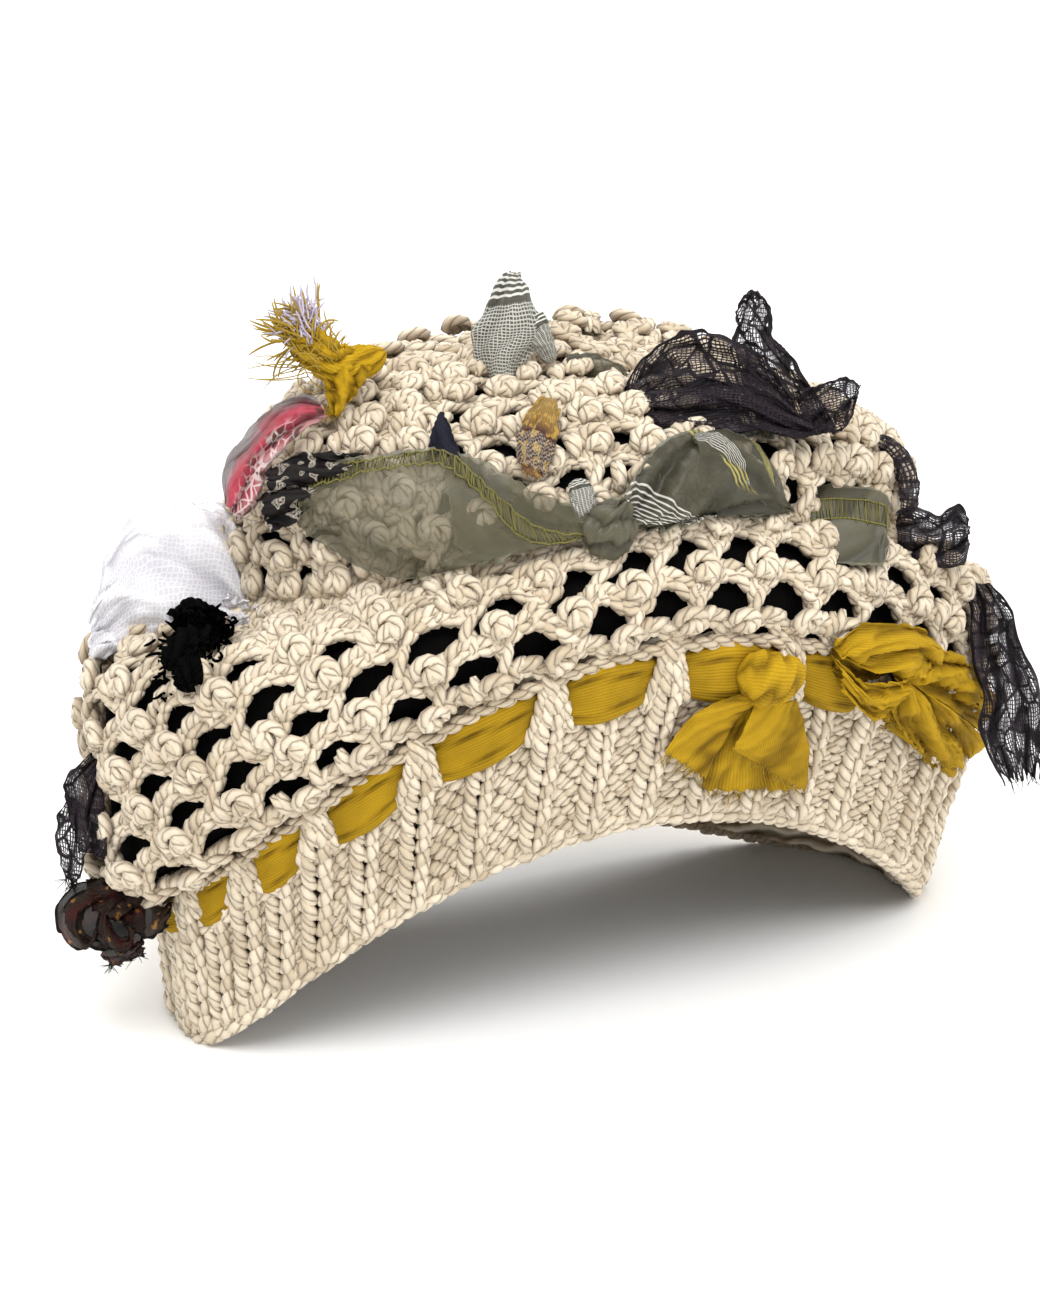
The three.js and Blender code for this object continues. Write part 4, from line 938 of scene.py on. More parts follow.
# Cloth outlines start
SHEETS = [
    {"name": "ribbon_tail_under", "look": "mustard", "node": "ribbon_tail_left", "on": "cap", "wavy": 0.2,
     "fold": 0.5, "waves": 1.4, "phase": 0.4, "grid": (40, 40), "fray": (0, 0, 0.6), "cut": (19, 31),
     "rows": [[59.3, -12.5, 64.1, -12.5, 1.5], [55.9, -17.7, 67.3, -17.7, 1.2],
              [51.9, -26.2, 71.2, -27.1, 1], [48.7, -37, 74.7, -36.5, 1]]},
    {"name": "ribbon_tail_left", "look": "mustard", "node": "ribbon_tail_left", "on": "cap", "wavy": 0.2,
     "fold": 0.35, "waves": 0.8, "phase": 0.9, "grid": (40, 44), "fray": (0, 0, 0.6), "cut": (13, 28),
     "rows": [[60.7, -8.5, 63.8, -11.4, 2.5], [52.4, -10.8, 58.1, -15.4, 2.8],
              [44.5, -15.1, 53.6, -22.2, 3], [37, -25.1, 48.7, -32.8, 2.6]]},
    {"name": "ribbon_tail_right", "look": "mustard", "node": "ribbon_tail_right", "on": "cap", "wavy": 0.2,
     "fold": 0.35, "waves": 0.7, "phase": 2.2, "dome": 0.9, "grid": (48, 44), "fray": (0, 0, 0.6),
     "cut": (22, 23),
     "rows": [[62.1, -10.8, 73.8, -9.7, 3.5], [59.3, -16.2, 75.8, -17.1, 4.2],
              [56.4, -21.4, 76.9, -25.6, 4.6], [55.6, -22.8, 76.1, -35.6, 4.2]]},
    {"name": "rosette_tail_right", "look": "mustard", "node": "mustard_rosette", "on": "cap", "fold": 2.4,
     "waves": 1.6, "phase": 0.5, "grid": (56, 60), "fray": (0, 0, 1), "cut": (35, 86),
     "rows": [[102.6, 1.1, 103.7, -4, 3.5], [109.7, 3.4, 110.3, -6.8, 4], [118.6, 0.6, 117.4, -12, 3],
              [126.5, -5.1, 123.1, -16.5, 2], [135.1, -16.5, 130, -22.2, 1]]},
    {"name": "rosette_tail_down", "look": "mustard", "node": "mustard_rosette", "on": "cap", "fold": 2.4,
     "waves": 1.7, "phase": 1.1, "grid": (60, 64), "fray": (0, 0, 1), "cut": (25, 73),
     "rows": [[100.9, -1.7, 106, -2.3, 4.5], [99.2, -11.4, 112.3, -8.5, 5.5],
              [103.7, -20.5, 118.6, -14.2, 4.5], [111.1, -27.9, 124.8, -20.5, 3],
              [115.7, -32.2, 125.4, -26.2, 2]]},
    {"name": "rosette_loop_front", "look": "mustard", "node": "mustard_rosette", "on": "cap", "fold": 1.6,
     "waves": 1.7, "phase": 0.2, "grid": (44, 48), "dome": 1.5, "cut": (17, 32),
     "rows": [[104.3, -0.6, 104.3, -5.1, 5.5], [97.5, -2.8, 98, -12, 6], [90.6, -3.4, 92.9, -14, 5],
              [85.8, 1.7, 86.6, -7.4, 2]]},
    # Set dark as painted shade of the hollow inside the rosette
    {"name": "rosette_loop_back", "look": "mustard", "node": "mustard_rosette", "on": "cap", "shade": 0.1,
     "fold": 1.2, "waves": 1.4, "phase": 1.2, "grid": (40, 48), "cut": (13, 28),
     "rows": [[104.3, 0.6, 104.3, -2.8, 1.5], [95.8, 4, 96.3, -5.1, 0.5], [89.5, 4.6, 90.6, -7.4, 0.5],
              [85.2, 2.8, 86.6, -6.3, 1]]},
    {"name": "rosette_roll", "look": "mustard", "node": "mustard_rosette", "on": "cap", "fold": 1.8,
     "waves": 1.9, "phase": 2.6, "grid": (48, 56), "dome": 2.5, "cut": (21, 47),
     "rows": [[86.6, 6.3, 88.9, 1.7, 1], [92.9, 9.1, 94.6, 0.6, 4], [102.6, 9.4, 102.6, -0.3, 5.5],
              [110.6, 5.7, 107.2, -2.3, 4.5], [114.6, 1.7, 108.9, -4, 2.5]]},
    {"name": "rosette_tuck", "look": "mustard", "node": "mustard_rosette", "on": "cap", "shade": 0.2,
     "fold": 1.4, "waves": 1.6, "phase": 0, "grid": (30, 36), "fray": (0, 0, 1), "cut": (12, 19),
     "rows": [[98.6, -5.1, 103.7, -5.1, 3.5], [96.9, -11.4, 104.3, -11.4, 2.5],
              [98, -18, 104.3, -16.5, 1.5]]},
    {"name": "organza_tail", "look": "organza_stitched", "node": "organza_tail", "on": "cap", "fold": 0.8,
     "waves": 0.8, "phase": 0.8, "drift": 0.35, "grid": (48, 104), "dome": 1.2, "cut": (27, 95),
     "rows": [[16.5, 40.5, 18.5, 34.2, 3.4], [7.1, 42.2, 11.4, 28.2, 4.2], [-2.8, 44.7, 3.4, 23.4, 4.6],
              [-12.3, 49.9, -5.7, 18.2, 4.6], [-21.4, 52.2, -18.5, 18.8, 4.6],
              [-34.2, 51.6, -32.8, 22.2, 4.6], [-48.4, 49.9, -47.9, 27.9, 4.2],
              [-57.6, 47.3, -56.4, 31.9, 4], [-61.6, 41.9, -61, 36.5, 3]]},
    {"name": "organza_under", "look": "organza_hem", "node": "organza_tail", "on": "cap", "fold": 0.6,
     "waves": 0.8, "phase": 0.3, "grid": (30, 60), "dome": 0.4, "cut": (18, 44),
     "rows": [[18.5, 40.5, 19.9, 34.8, 1], [7.1, 42.7, 11.4, 29.1, 1.2], [-4.3, 46.7, 0.6, 25.6, 1],
              [-14.2, 51.3, -9.1, 26.8, 0.8], [-22.8, 51.9, -18.5, 31.3, 0.6]]},
    {"name": "organza_loop", "look": "organza_striped", "node": "organza_loop", "on": "cap", "wavy": 0.15,
     "fold": 2.4, "waves": 1.5, "phase": 0.3, "drift": 0.5, "grid": (56, 90), "dome": 2.4, "cut": (26, 67),
     "rows": [[23.9, 40.5, 26.2, 32.2, 2], [31.3, 49, 34.8, 29.1, 2.6], [39.9, 55.6, 44.5, 29.9, 3.4],
              [49, 57.9, 52.4, 34.8, 3.2], [57.6, 57.3, 60.4, 33.9, 1.4], [66.1, 52.4, 67.5, 34.8, 0.6],
              [73, 42.7, 73.2, 38.2, -0.5]]},
    # A dark sheet under the organza loop's arch: painted shade of the hollow there
    {"name": "organza_hollow_shade", "look": "organza", "node": "organza_loop", "on": "cap", "wavy": 0.2,
     "shade": 0, "fold": 0.4, "waves": 1, "phase": 0.4, "grid": (24, 36), "cut": (7, 24),
     "rows": [[51.3, 46.2, 51.9, 34.2, 3.9], [58.1, 47.9, 58.7, 33.3, 4.1],
              [65.5, 45.6, 66.1, 34.2, 3.6], [70.7, 41.6, 69.5, 35.9, 2.4]]},
    {"name": "organza_arch", "look": "organza_striped", "node": "organza_loop", "on": "cap", "wavy": 0.15,
     "fold": 0.7, "waves": 0.9, "phase": 1.1, "grid": (30, 60), "dome": 1.6, "cut": (12, 41),
     "rows": [[46.7, 57, 46.7, 48.4, 3.6], [54.7, 57.6, 53.6, 49.6, 4.6], [62.1, 55.3, 59.3, 47.9, 4.8],
              [68.4, 49.6, 64.4, 43.3, 3.6], [73.5, 41, 69.5, 37.6, 0.6]]},
    {"name": "organza_strap", "look": "organza_folded", "node": "organza_strap", "on": "root",
     "root": (94, 26.8), "tilt": -9, "fold": 0.6, "waves": 1, "phase": 0.8, "grid": (40, 48), "dome": 0.8,
     "cut": (22, 26),
     "rows": [[78.9, 42.7, 82.1, 29.1, 0.2], [81.5, 45.6, 83.8, 27.4, 0.4],
              [89.8, 47.3, 90.6, 24.8, 0.6], [98, 46.5, 99.2, 23.9, 0.6], [103.2, 45, 103.2, 24.8, 0.4],
              [105.4, 41.9, 104.6, 27.4, 0.2]]},
    {"name": "organza_strap_end", "look": "organza_folded", "node": "organza_strap", "on": "root",
     "root": (94, 26.8), "tilt": -3, "fold": 0.5, "waves": 1, "phase": 0.1, "grid": (20, 20),
     "cut": (6, 11),
     "rows": [[76.4, 53.6, 78.4, 45, -8], [80.4, 52.7, 83.2, 44.5, -7], [84.1, 49.6, 86.6, 44.5, -5]]},
    {"name": "striped_tip", "look": "striped", "node": "striped_tip", "on": "root", "root": (7.1, 79.2),
     "fold": 1.2, "waves": 1.1, "phase": 0.4, "drift": 0.3, "grid": (54, 72), "dome": 5, "thickness": 0.5,
     "wavy": 0.4, "cut": (19, 36),
     "rows": [[-3.1, 107.7, 0, 107.4, 5], [-6.8, 104.9, 0.9, 105.2, 5.5], [-8.3, 100.3, 2.3, 102, 6],
              [-10.3, 96.3, 4, 98.3, 6.5], [-13.1, 91.8, 6.3, 92.6, 7], [-13.7, 87.8, 6, 88.9, 7],
              [-13.1, 84.4, 3.1, 84.9, 7], [-11.4, 79.8, 0.6, 80.9, 6.5], [-8.5, 75.8, -0.6, 76.4, 6],
              [-6, 73.8, -1.7, 74.1, 5]]},
    {"name": "lace_bow_wing", "look": "lace", "node": "lace_bow", "on": "root", "root": (68.1, 61.8),
     "fold": 2.2, "waves": 2.1, "phase": 0.7, "drift": 0.45, "grid": (60, 90), "dome": 3, "wavy": 1,
     "cut": (28, 58),
     "rows": [[77.5, 72.7, 80.4, 61.6, 1], [69.8, 82.1, 73, 61.8, 2], [62.1, 87.8, 64.1, 63.6, 2.5],
              [52.4, 90.9, 53.6, 62.7, 3], [43.3, 89.8, 42.2, 62.4, 3], [34.2, 81.5, 34.2, 64.1, 3],
              [28.5, 67.8, 29.1, 65.5, 3]]},
    {"name": "lace_bow_front", "look": "lace", "node": "lace_bow", "on": "root", "root": (68.1, 61.8),
     "fold": 1.8, "waves": 1.7, "phase": 2.2, "drift": 0.5, "grid": (44, 84), "dome": 2, "wavy": 0.8,
     "cut": (18, 58),
     "rows": [[83.2, 65.5, 83.8, 61, 5], [73.5, 70.1, 75.2, 61.3, 7], [63.3, 75.8, 65, 62.4, 8.5],
              [53, 76.9, 53.6, 62.4, 9.5], [42.7, 74.7, 42.7, 62.4, 9.5], [34.2, 71.8, 34.8, 63.6, 8.5],
              [27.9, 67.8, 29.1, 65, 6.5]]},
    {"name": "lace_bow_spike", "look": "lace", "node": "lace_bow", "on": "root", "root": (68.1, 61.8),
     "fold": 2, "waves": 1.9, "phase": 0.2, "drift": 0.4, "grid": (48, 76), "dome": 2, "wavy": 0.9,
     "cut": (22, 46),
     "rows": [[70.7, 62.7, 90.1, 61.6, -2], [63.8, 73.5, 84.9, 73, -1], [61.8, 84.4, 77.5, 82.1, -2],
              [61.3, 92.6, 71.8, 90.6, -2.5], [62.7, 98.3, 71, 98, -3], [65.5, 101.7, 68.4, 101.5, -3]]},
    {"name": "lace_bow_horn", "look": "lace", "node": "lace_bow", "on": "root", "root": (68.1, 61.8),
     "fold": 1.8, "waves": 1.7, "phase": 1.4, "grid": (44, 44), "dome": 1.5, "cut": (16, 22),
     "rows": [[78.7, 73.5, 81.5, 61.3, 2], [85.5, 75.8, 87.8, 61.6, 3], [92.6, 77.5, 93.2, 64.1, 2.5],
              [96.9, 75.8, 95.8, 70.7, 1.5]]},
    {"name": "lace_puff", "look": "lace_dense", "node": "lace_puff", "on": "root", "root": (106, 27.9),
     "fold": 2.4, "waves": 2.3, "phase": 0.9, "grid": (56, 56), "dome": 3.5, "cut": (23, 28),
     "rows": [[107.2, 39.3, 107.7, 26.8, -3.5], [112.6, 41, 111.7, 23.9, -2.5],
              [118.6, 38.5, 118.3, 23.7, -2.5], [124.8, 41.3, 125.4, 23.9, -3.5],
              [128, 37, 127.7, 29.1, -5]]},
    {"name": "lace_strip", "look": "lace_dense", "node": "lace_strip", "on": "root", "root": (120, 14),
     "fold": 2.4, "waves": 2.2, "phase": 0.3, "drift": 0.4, "grid": (56, 110), "fray": (0, 0, 1),
     "cut": (26, 60),
     "rows": [[126, 19.4, 133.9, 18.8, -12], [128.2, 10.8, 140.2, 11.4, -11],
              [128.8, 2.8, 141.9, 4, -11.5], [129.4, -5.1, 145.3, -4, -11.5],
              [132, -14.2, 148.2, -11.4, -12], [131.1, -22.8, 149.1, -21.4, -12],
              [133.9, -30.8, 149.1, -29.9, -12], [138.5, -39.3, 148.2, -36.5, -12]]},
    {"name": "tulle_front", "look": "tulle", "node": "tulle_puff", "on": "root", "root": (-80.1, 12),
     "fold": 1.9, "waves": 1.7, "phase": 0.5, "drift": 1.6, "grid": (60, 70), "dome": 3, "ruffle": 1.6,
     "wavy": 1.8, "cut": (35, 68),
     "rows": [[-77.5, 15.4, -74.7, 6.8, 1], [-82.1, 37, -83.8, 4.6, 3], [-94, 41.9, -95.5, 2.6, 5],
              [-107.7, 42.5, -108.3, 0.9, 5], [-117.4, 26.8, -116.8, -1.4, 3],
              [-122, 12.5, -122, -1.4, 0]]},
    {"name": "tulle_back", "look": "tulle", "node": "tulle_puff", "on": "root", "root": (-80.1, 12),
     "fold": 2, "waves": 1.9, "phase": 2, "drift": -1.4, "grid": (56, 66), "ruffle": 1.6, "wavy": 2.2,
     "cut": (36, 69),
     "rows": [[-78.1, 17.1, -75.8, 9.1, -1], [-82.1, 38.2, -83.8, 7.4, -2],
              [-94.6, 42.2, -95.5, 5.1, -3], [-108.3, 41, -108.9, 2.8, -4],
              [-116.3, 26.8, -116.3, 0, -4], [-120.8, 12.5, -120.6, 0, -4]]},
    {"name": "tulle_inner", "look": "tulle", "node": "tulle_puff", "on": "root", "root": (-80.1, 12),
     "fold": 2.2, "waves": 1.5, "phase": 3.2, "drift": 1.9, "grid": (48, 60), "ruffle": 1.4, "wavy": 2.2,
     "cut": (28, 60),
     "rows": [[-78.7, 19.9, -76.9, 10.8, 1], [-84.9, 31.3, -86.1, 8.5, 2], [-96.9, 34.2, -98, 6.3, 2],
              [-110, 25.6, -110.6, 2.8, 1], [-118.6, 11.4, -118.6, -0.6, 0]]},
    {"name": "tulle_frill", "look": "tulle", "node": "tulle_puff", "on": "root", "root": (-80.1, 12),
     "fold": 1.6, "waves": 1.8, "phase": 0.1, "grid": (34, 34), "ruffle": 1.2, "wavy": 1, "cut": (14, 23),
     "rows": [[-83.8, 15.4, -87.8, 8.5, 8], [-78.1, 13.7, -83.2, 5.1, 9], [-73, 10.8, -79.2, 3.4, 8]]},
    {"name": "twist_lobe", "look": "mustard", "node": "mustard_twist", "on": "root", "root": (-45.9, 63.3),
     "fold": 1.6, "waves": 1.3, "phase": 0.6, "grid": (36, 44), "dome": 2.2, "wavy": 0.5, "cut": (12, 19),
     "rows": [[-42.2, 80.9, -53.6, 82.1, 3], [-44.5, 76.4, -55.6, 76.9, 3.5],
              [-47.9, 71.8, -55, 71.8, 3], [-51.9, 66.7, -53.9, 66.7, 2]]},
    {"name": "pink_chiffon", "look": "pink", "node": "pink_chiffon", "on": "root", "root": (-57, 44.7),
     "fold": 1.8, "waves": 2.2, "phase": 0.7, "drift": 0.5, "grid": (52, 80), "dome": 2, "cut": (18, 42),
     "rows": [[-57.6, 71.2, -55, 66.4, -1], [-62.7, 73, -61, 63.3, 0], [-71.2, 69, -67, 57.6, 0.5],
              [-78.4, 60.7, -72.7, 50.2, 0.5], [-84.4, 52.4, -75, 41.9, 0],
              [-84.4, 42.2, -80.4, 37.3, -1]]},
    {"name": "print_knot_upper", "look": "print", "node": "print_knot", "on": "root", "root": (-48.7, 37.3),
     "fold": 2, "waves": 1.4, "phase": 0.3, "grid": (44, 60), "dome": 2.6, "cut": (16, 31),
     "rows": [[-45, 55.9, -44.2, 51.9, -1.5], [-54.1, 56.4, -52.4, 47.3, 1],
              [-64.1, 55.6, -62.1, 43, 1.5], [-72.4, 50.7, -71.2, 42.2, 0.5]]},
    {"name": "print_knot_lower", "look": "print", "node": "print_knot", "on": "root", "root": (-48.7, 37.3),
     "fold": 1.8, "waves": 1.3, "phase": 1.3, "grid": (40, 44), "dome": 2, "cut": (14, 17),
     "rows": [[-62.7, 49, -58.7, 41.9, 0], [-69.8, 46.7, -65, 35.9, 0.8], [-75, 42.7, -71.2, 33.9, 0]]},
    {"name": "navy_tip", "look": "navy", "node": "navy_tip", "on": "cap", "thickness": 0.5, "wavy": 0.1,
     "fold": 0.2, "waves": 1.2, "phase": 0.2, "grid": (24, 24), "dome": 0.6, "cut": (6, 16),
     "rows": [[-26.5, 50.2, -17.4, 50.2, 3.6], [-25.4, 56.4, -19.4, 56.4, 3.8],
              [-23.4, 61.3, -22.2, 61.3, 3.4]]},
    {"name": "gold_strip", "look": "woven", "node": "gold_strip", "on": "cap", "fold": 0.9, "waves": 1.3,
     "phase": 0.5, "grid": (36, 44), "dome": 1.4, "cut": (11, 29),
     "rows": [[5.1, 65.8, 10.5, 63.6, 3], [0.3, 59.8, 9.7, 55.6, 4.2], [-2, 52.7, 7.4, 49, 4.2],
              [0, 47, 4, 45.6, 3.2]]},
    {"name": "olive_strip_back", "look": "organza", "node": "olive_strip_back", "on": "root",
     "root": (21.7, 78.1), "fold": 0.4, "waves": 1, "phase": 0.4, "grid": (20, 36), "dome": 0.6,
     "cut": (6, 18),
     "rows": [[13.1, 84.1, 13.7, 79.2, 0.3], [21.4, 84.4, 21.4, 77.8, 0.5],
              [30.5, 79.8, 29.9, 76.7, 0.2]]},
    {"name": "olive_peek", "look": "organza_striped", "node": "olive_peek", "on": "cap", "fold": 0.4,
     "waves": 1, "phase": 0.9, "grid": (20, 36), "dome": 0.6, "cut": (7, 22),
     "rows": [[53, 62.1, 53.6, 58.7, 0.2], [61.3, 62.7, 62.1, 57.9, 0.6], [70.7, 61.6, 69.8, 58.1, 0.2]]},
    {"name": "dark_rosette_back", "look": "rosette", "node": "dark_rosette", "on": "root",
     "root": (-94.9, -68.1), "fold": 1.4, "waves": 1.3, "phase": 0.9, "drift": 0.6, "grid": (36, 52),
     "dome": 1, "wavy": 0.6, "shade": 0.3, "cut": (18, 26),
     "rows": [[-130, -73.5, -129.4, -78.7, -1], [-126, -69, -124.3, -83.8, -1],
              [-119.7, -66.7, -118.6, -85.5, -1], [-112.9, -66.1, -112.3, -85.5, -1],
              [-106.6, -67.3, -107.2, -83.8, -1.5]]},
    {"name": "dark_rosette_outer", "look": "rosette", "node": "dark_rosette", "on": "root",
     "root": (-94.9, -68.1), "fold": 1.2, "waves": 1.1, "phase": 0.4, "drift": 0.5, "grid": (40, 76),
     "dome": 2, "wavy": 0.6, "cut": (10, 31),
     "rows": [[-119.7, -65, -120.3, -71.2, 1], [-126.5, -66.7, -122, -72.4, 3],
              [-131.7, -72.7, -124.8, -75.5, 3.5], [-131.1, -81.2, -124.3, -79.8, 3.5],
              [-124.3, -85.5, -121.4, -82.6, 3], [-120.6, -79.8, -120.3, -77.5, 1.5]]},
    {"name": "dark_rosette_loop", "look": "rosette", "node": "dark_rosette", "on": "root",
     "root": (-94.9, -68.1), "fold": 1.2, "waves": 1.2, "phase": 1.2, "drift": 0.5, "grid": (36, 72),
     "dome": 2, "wavy": 0.6, "cut": (9, 21),
     "rows": [[-120.3, -75.5, -117.4, -74.7, 2], [-120.3, -81.2, -116.3, -79.2, 3.5],
              [-116.3, -85.5, -113.4, -82.1, 4.5], [-111.1, -84.9, -111.1, -80.9, 4],
              [-110.3, -79.8, -112.3, -77.5, 2]]},
    {"name": "dark_rosette_inner", "look": "rosette", "node": "dark_rosette", "on": "root",
     "root": (-94.9, -68.1), "fold": 1.8, "waves": 1.6, "phase": 2.2, "drift": 0.8, "grid": (40, 56),
     "dome": 2.5, "wavy": 0.6, "cut": (14, 20),
     "rows": [[-123.7, -65.5, -122, -74.1, 0], [-116.8, -64.7, -116.3, -76.9, 2],
              [-110, -66.7, -111.1, -78.1, 1]]},
    {"name": "dark_rosette_right", "look": "rosette", "node": "dark_rosette", "on": "root",
     "root": (-94.9, -68.1), "fold": 2, "waves": 1.5, "phase": 2.9, "drift": 0.6, "grid": (44, 56),
     "dome": 2.5, "wavy": 0.8, "cut": (17, 22),
     "rows": [[-112.3, -67.3, -112.9, -78.7, 0], [-105.4, -65.8, -106, -82.1, 2],
              [-98.6, -68.4, -100.9, -79.2, 0]]},
    {"name": "dark_rosette_fringe", "look": "rosette", "node": "dark_rosette", "on": "root",
     "root": (-94.9, -68.1), "fold": 1, "waves": 2.4, "phase": 0.9, "drift": 0.6, "grid": (30, 50),
     "dome": 0.8, "wavy": 1, "fray": (0, 1, 0), "cut": (10, 17),
     "rows": [[-120.3, -83.2, -118.6, -88.3, 0], [-114.6, -84.9, -114.6, -89.8, 1],
              [-107.7, -82.6, -107.2, -86.6, 0]]},
    {"name": "lace_left", "look": "lace_dense", "node": "lace_left", "on": "root", "root": (-114, -45),
     "fold": 1.8, "waves": 1.9, "phase": 0.5, "drift": 0.6, "grid": (44, 70), "dome": 2, "cut": (15, 31),
     "rows": [[-122, -29.1, -117.4, -31.9, -6], [-128.8, -35.6, -118.6, -39.9, -5],
              [-129.4, -42.7, -118.6, -48.4, -4.5], [-127.7, -51.3, -117.4, -57, -4.5],
              [-125.4, -57, -118.6, -59.3, -5.5]]},
    {"name": "lace_left_edge", "look": "lace", "node": "lace_left", "on": "root", "root": (-114, -45),
     "fold": 1, "waves": 1.2, "phase": 1.5, "drift": 0.6, "grid": (30, 56), "dome": 0.8, "fray": (0, 0, 1),
     "cut": (10, 23),
     "rows": [[-129.4, -42.7, -122.5, -44.5, -6.5], [-132, -49, -123.1, -51.3, -6.5],
              [-132, -55.9, -123.7, -58.7, -6.5], [-130.5, -62.1, -125.4, -64.4, -6.5],
              [-129.4, -65.5, -126.5, -66.7, -6.5]]},
]

BUNDLES = [
    {"name": "lace_loop_back", "look": "lace", "node": "lace_loop_back", "on": "root", "root": (98, 49.9),
     "pleats": 3, "twist": 1.5, "grid": (20, 40),
     "rows": [[99.7, 60.4, -9, 1.6, 1.1], [105.7, 57.6, -8, 2.6, 1.4], [110, 50.7, -8, 3, 1.5],
              [110.9, 42.7, -8, 2.6, 1.4], [109.4, 38.2, -8, 1.4, 0.9]]},
    {"name": "ribbon_knot", "look": "mustard", "node": "ribbon_knot", "on": "cap", "pleats": 3, "twist": 0.3,
     "grid": (72, 44), "rough": 0.25,
     "rows": [[58.1, -4, 1.5, 3.8, 2.2], [62.1, -3.4, 3, 7, 4.6], [66.1, -3.7, 3.8, 7.8, 5.6],
              [70.7, -4.3, 3, 6.8, 4.6], [75.2, -5.7, 1.4, 4.8, 2.8]]},
    {"name": "organza_knot", "look": "organza_folded", "node": "organza_knot", "on": "cap", "pleats": 5,
     "twist": 0.25, "deep": 0.45, "grid": (72, 44),
     "rows": [[17.7, 41, 2.2, 3.4, 2.2], [19.9, 39.3, 3.8, 7, 4.2], [22.8, 37.3, 4.6, 8.4, 5],
              [25.9, 35.6, 3.8, 7.2, 4.2], [29.1, 34.2, 2, 4.2, 2.4]]},
    {"name": "knot_flap", "look": "striped", "node": "organza_knot", "on": "cap", "pleats": 5, "twist": 0.5,
     "grid": (48, 30),
     "rows": [[14.5, 46.7, 1.4, 1.8, 0.8], [15.4, 43.9, 2.6, 3.1, 1.2], [16.5, 40.5, 2.8, 3, 1.3],
              [18.5, 37, 1.6, 1.8, 0.9]]},
    {"name": "mustard_twist", "look": "mustard", "node": "mustard_twist", "on": "root",
     "root": (-45.9, 63.3), "pleats": 7, "twist": 0.45, "deep": 0.42, "grid": (64, 60), "rough": 0.8,
     "rows": [[-38.2, 84.9, -3, 2.6, 2], [-43.9, 82.6, 0, 4, 3.2], [-50.2, 80.9, 1.5, 5.4, 4.4],
              [-55.3, 83.2, 1.5, 5.2, 4], [-60.4, 87.8, 1, 5, 3.6], [-63.6, 91.2, 0.5, 4.4, 3]]},
    {"name": "striped_neck", "look": "striped", "node": "striped_tip", "on": "root", "root": (7.1, 79.2),
     "pleats": 5, "twist": 0.4, "grid": (40, 36), "rough": 0.3,
     "rows": [[1.1, 94.6, 5, 5, 2.6], [3.7, 91.2, 6, 4.6, 3], [5.7, 88.3, 6, 3.6, 2.6],
              [7.4, 85.5, 5, 2.6, 1.9], [9.1, 81.5, 3, 2, 1.4]]},
    {"name": "black_tuft", "look": "tuft", "node": "black_tuft", "on": "cap", "pleats": 5, "twist": 0.9,
     "deep": 0.5, "grid": (32, 20), "rough": 1.2,
     "rows": [[-98.6, 6.3, 1, 2, 1.6], [-94.6, 4.6, 2.4, 4.6, 3.4], [-90.1, 1.7, 2.8, 5.4, 4],
              [-84.9, -1.1, 1.4, 3, 2.2]]},
    {"name": "black_tuft_low", "look": "tuft", "node": "black_tuft", "on": "cap", "pleats": 5, "twist": 0.9,
     "deep": 0.5, "grid": (32, 20), "rough": 1.2,
     "rows": [[-87.2, -0.6, 1, 2.4, 1.8], [-91.8, -4, 2.8, 5.4, 3.8], [-96.3, -6.8, 2.6, 4.8, 3.6],
              [-100.3, -9.1, 1, 2.4, 1.8]]},
    {"name": "black_tuft_end", "look": "tuft", "node": "black_tuft", "on": "cap", "pleats": 5, "twist": 0.9,
     "deep": 0.5, "grid": (28, 16), "rough": 1,
     "rows": [[-92.3, -4, 1, 2.4, 1.8], [-92.3, -8.5, 2, 4, 3], [-94, -12.5, 1, 2.2, 1.8]]},
]
# Cloth outlines end


# Overlocked hems by shares along and across their cloth
TAIL_HEM = [(0.03, 0.80), (0.10, 0.62), (0.175, 0.48), (0.33, 0.30), (0.465, 0.13), (0.56, 0.08),
            (0.74, 0.14), (0.875, 0.22), (0.965, 0.5)]
STRAP_HEM = [(0.0, 0.36), (0.5, 0.30), (1.0, 0.34)]


def add_hem(strands, cloth, path, half, pitch, radius=0.27):
    """Zigzag overlock stitches along a path on a cloth."""
    dense = smooth_rows(np.array(path), np.linspace(0, 1, 200))
    point, _, _ = cloth.at(dense[:, 0], dense[:, 1], 0.3)
    length = np.concatenate([[0], np.cumsum(np.linalg.norm(np.diff(point, axis=0), axis=1))])
    count = int(length[-1] / pitch)
    step = np.arange(2 * count + 1) / (2 * count)
    place = np.interp(step * length[-1], length, np.linspace(0, 1, 200))
    on = smooth_rows(np.array(path), place)
    u, v = on[:, 0], on[:, 1]
    near, _, _ = cloth.at(u, 0 * v)
    far, _, _ = cloth.at(u, 0 * v + 1)
    wide = np.linalg.norm(far - near, axis=1)
    swing = half * (1 + 0.15 * strands.random.normal(0, 1, len(v))) * np.where(np.arange(len(v)) % 2, 1, -1)
    centre, out, _ = cloth.at(np.clip(u, 0, 1), np.clip(v + swing / wide, 0, 1), 0.45)
    strands.add(centre[None], out[None], radius * np.ones((1, len(v))), 5)
    for edge in (-1, 1):
        q = np.interp(np.linspace(0, 1, count) * length[-1], length, np.linspace(0, 1, 200))
        on = smooth_rows(np.array(path), q)
        wide_here = np.interp(q, place, wide)
        v = np.clip(on[:, 1] + edge * half * 0.95 / wide_here, 0, 1)
        centre, out, _ = cloth.at(np.clip(on[:, 0], 0, 1), v, 0.4)
        strands.add(centre[None], out[None], radius * 0.9 * np.ones((1, count)), 5)


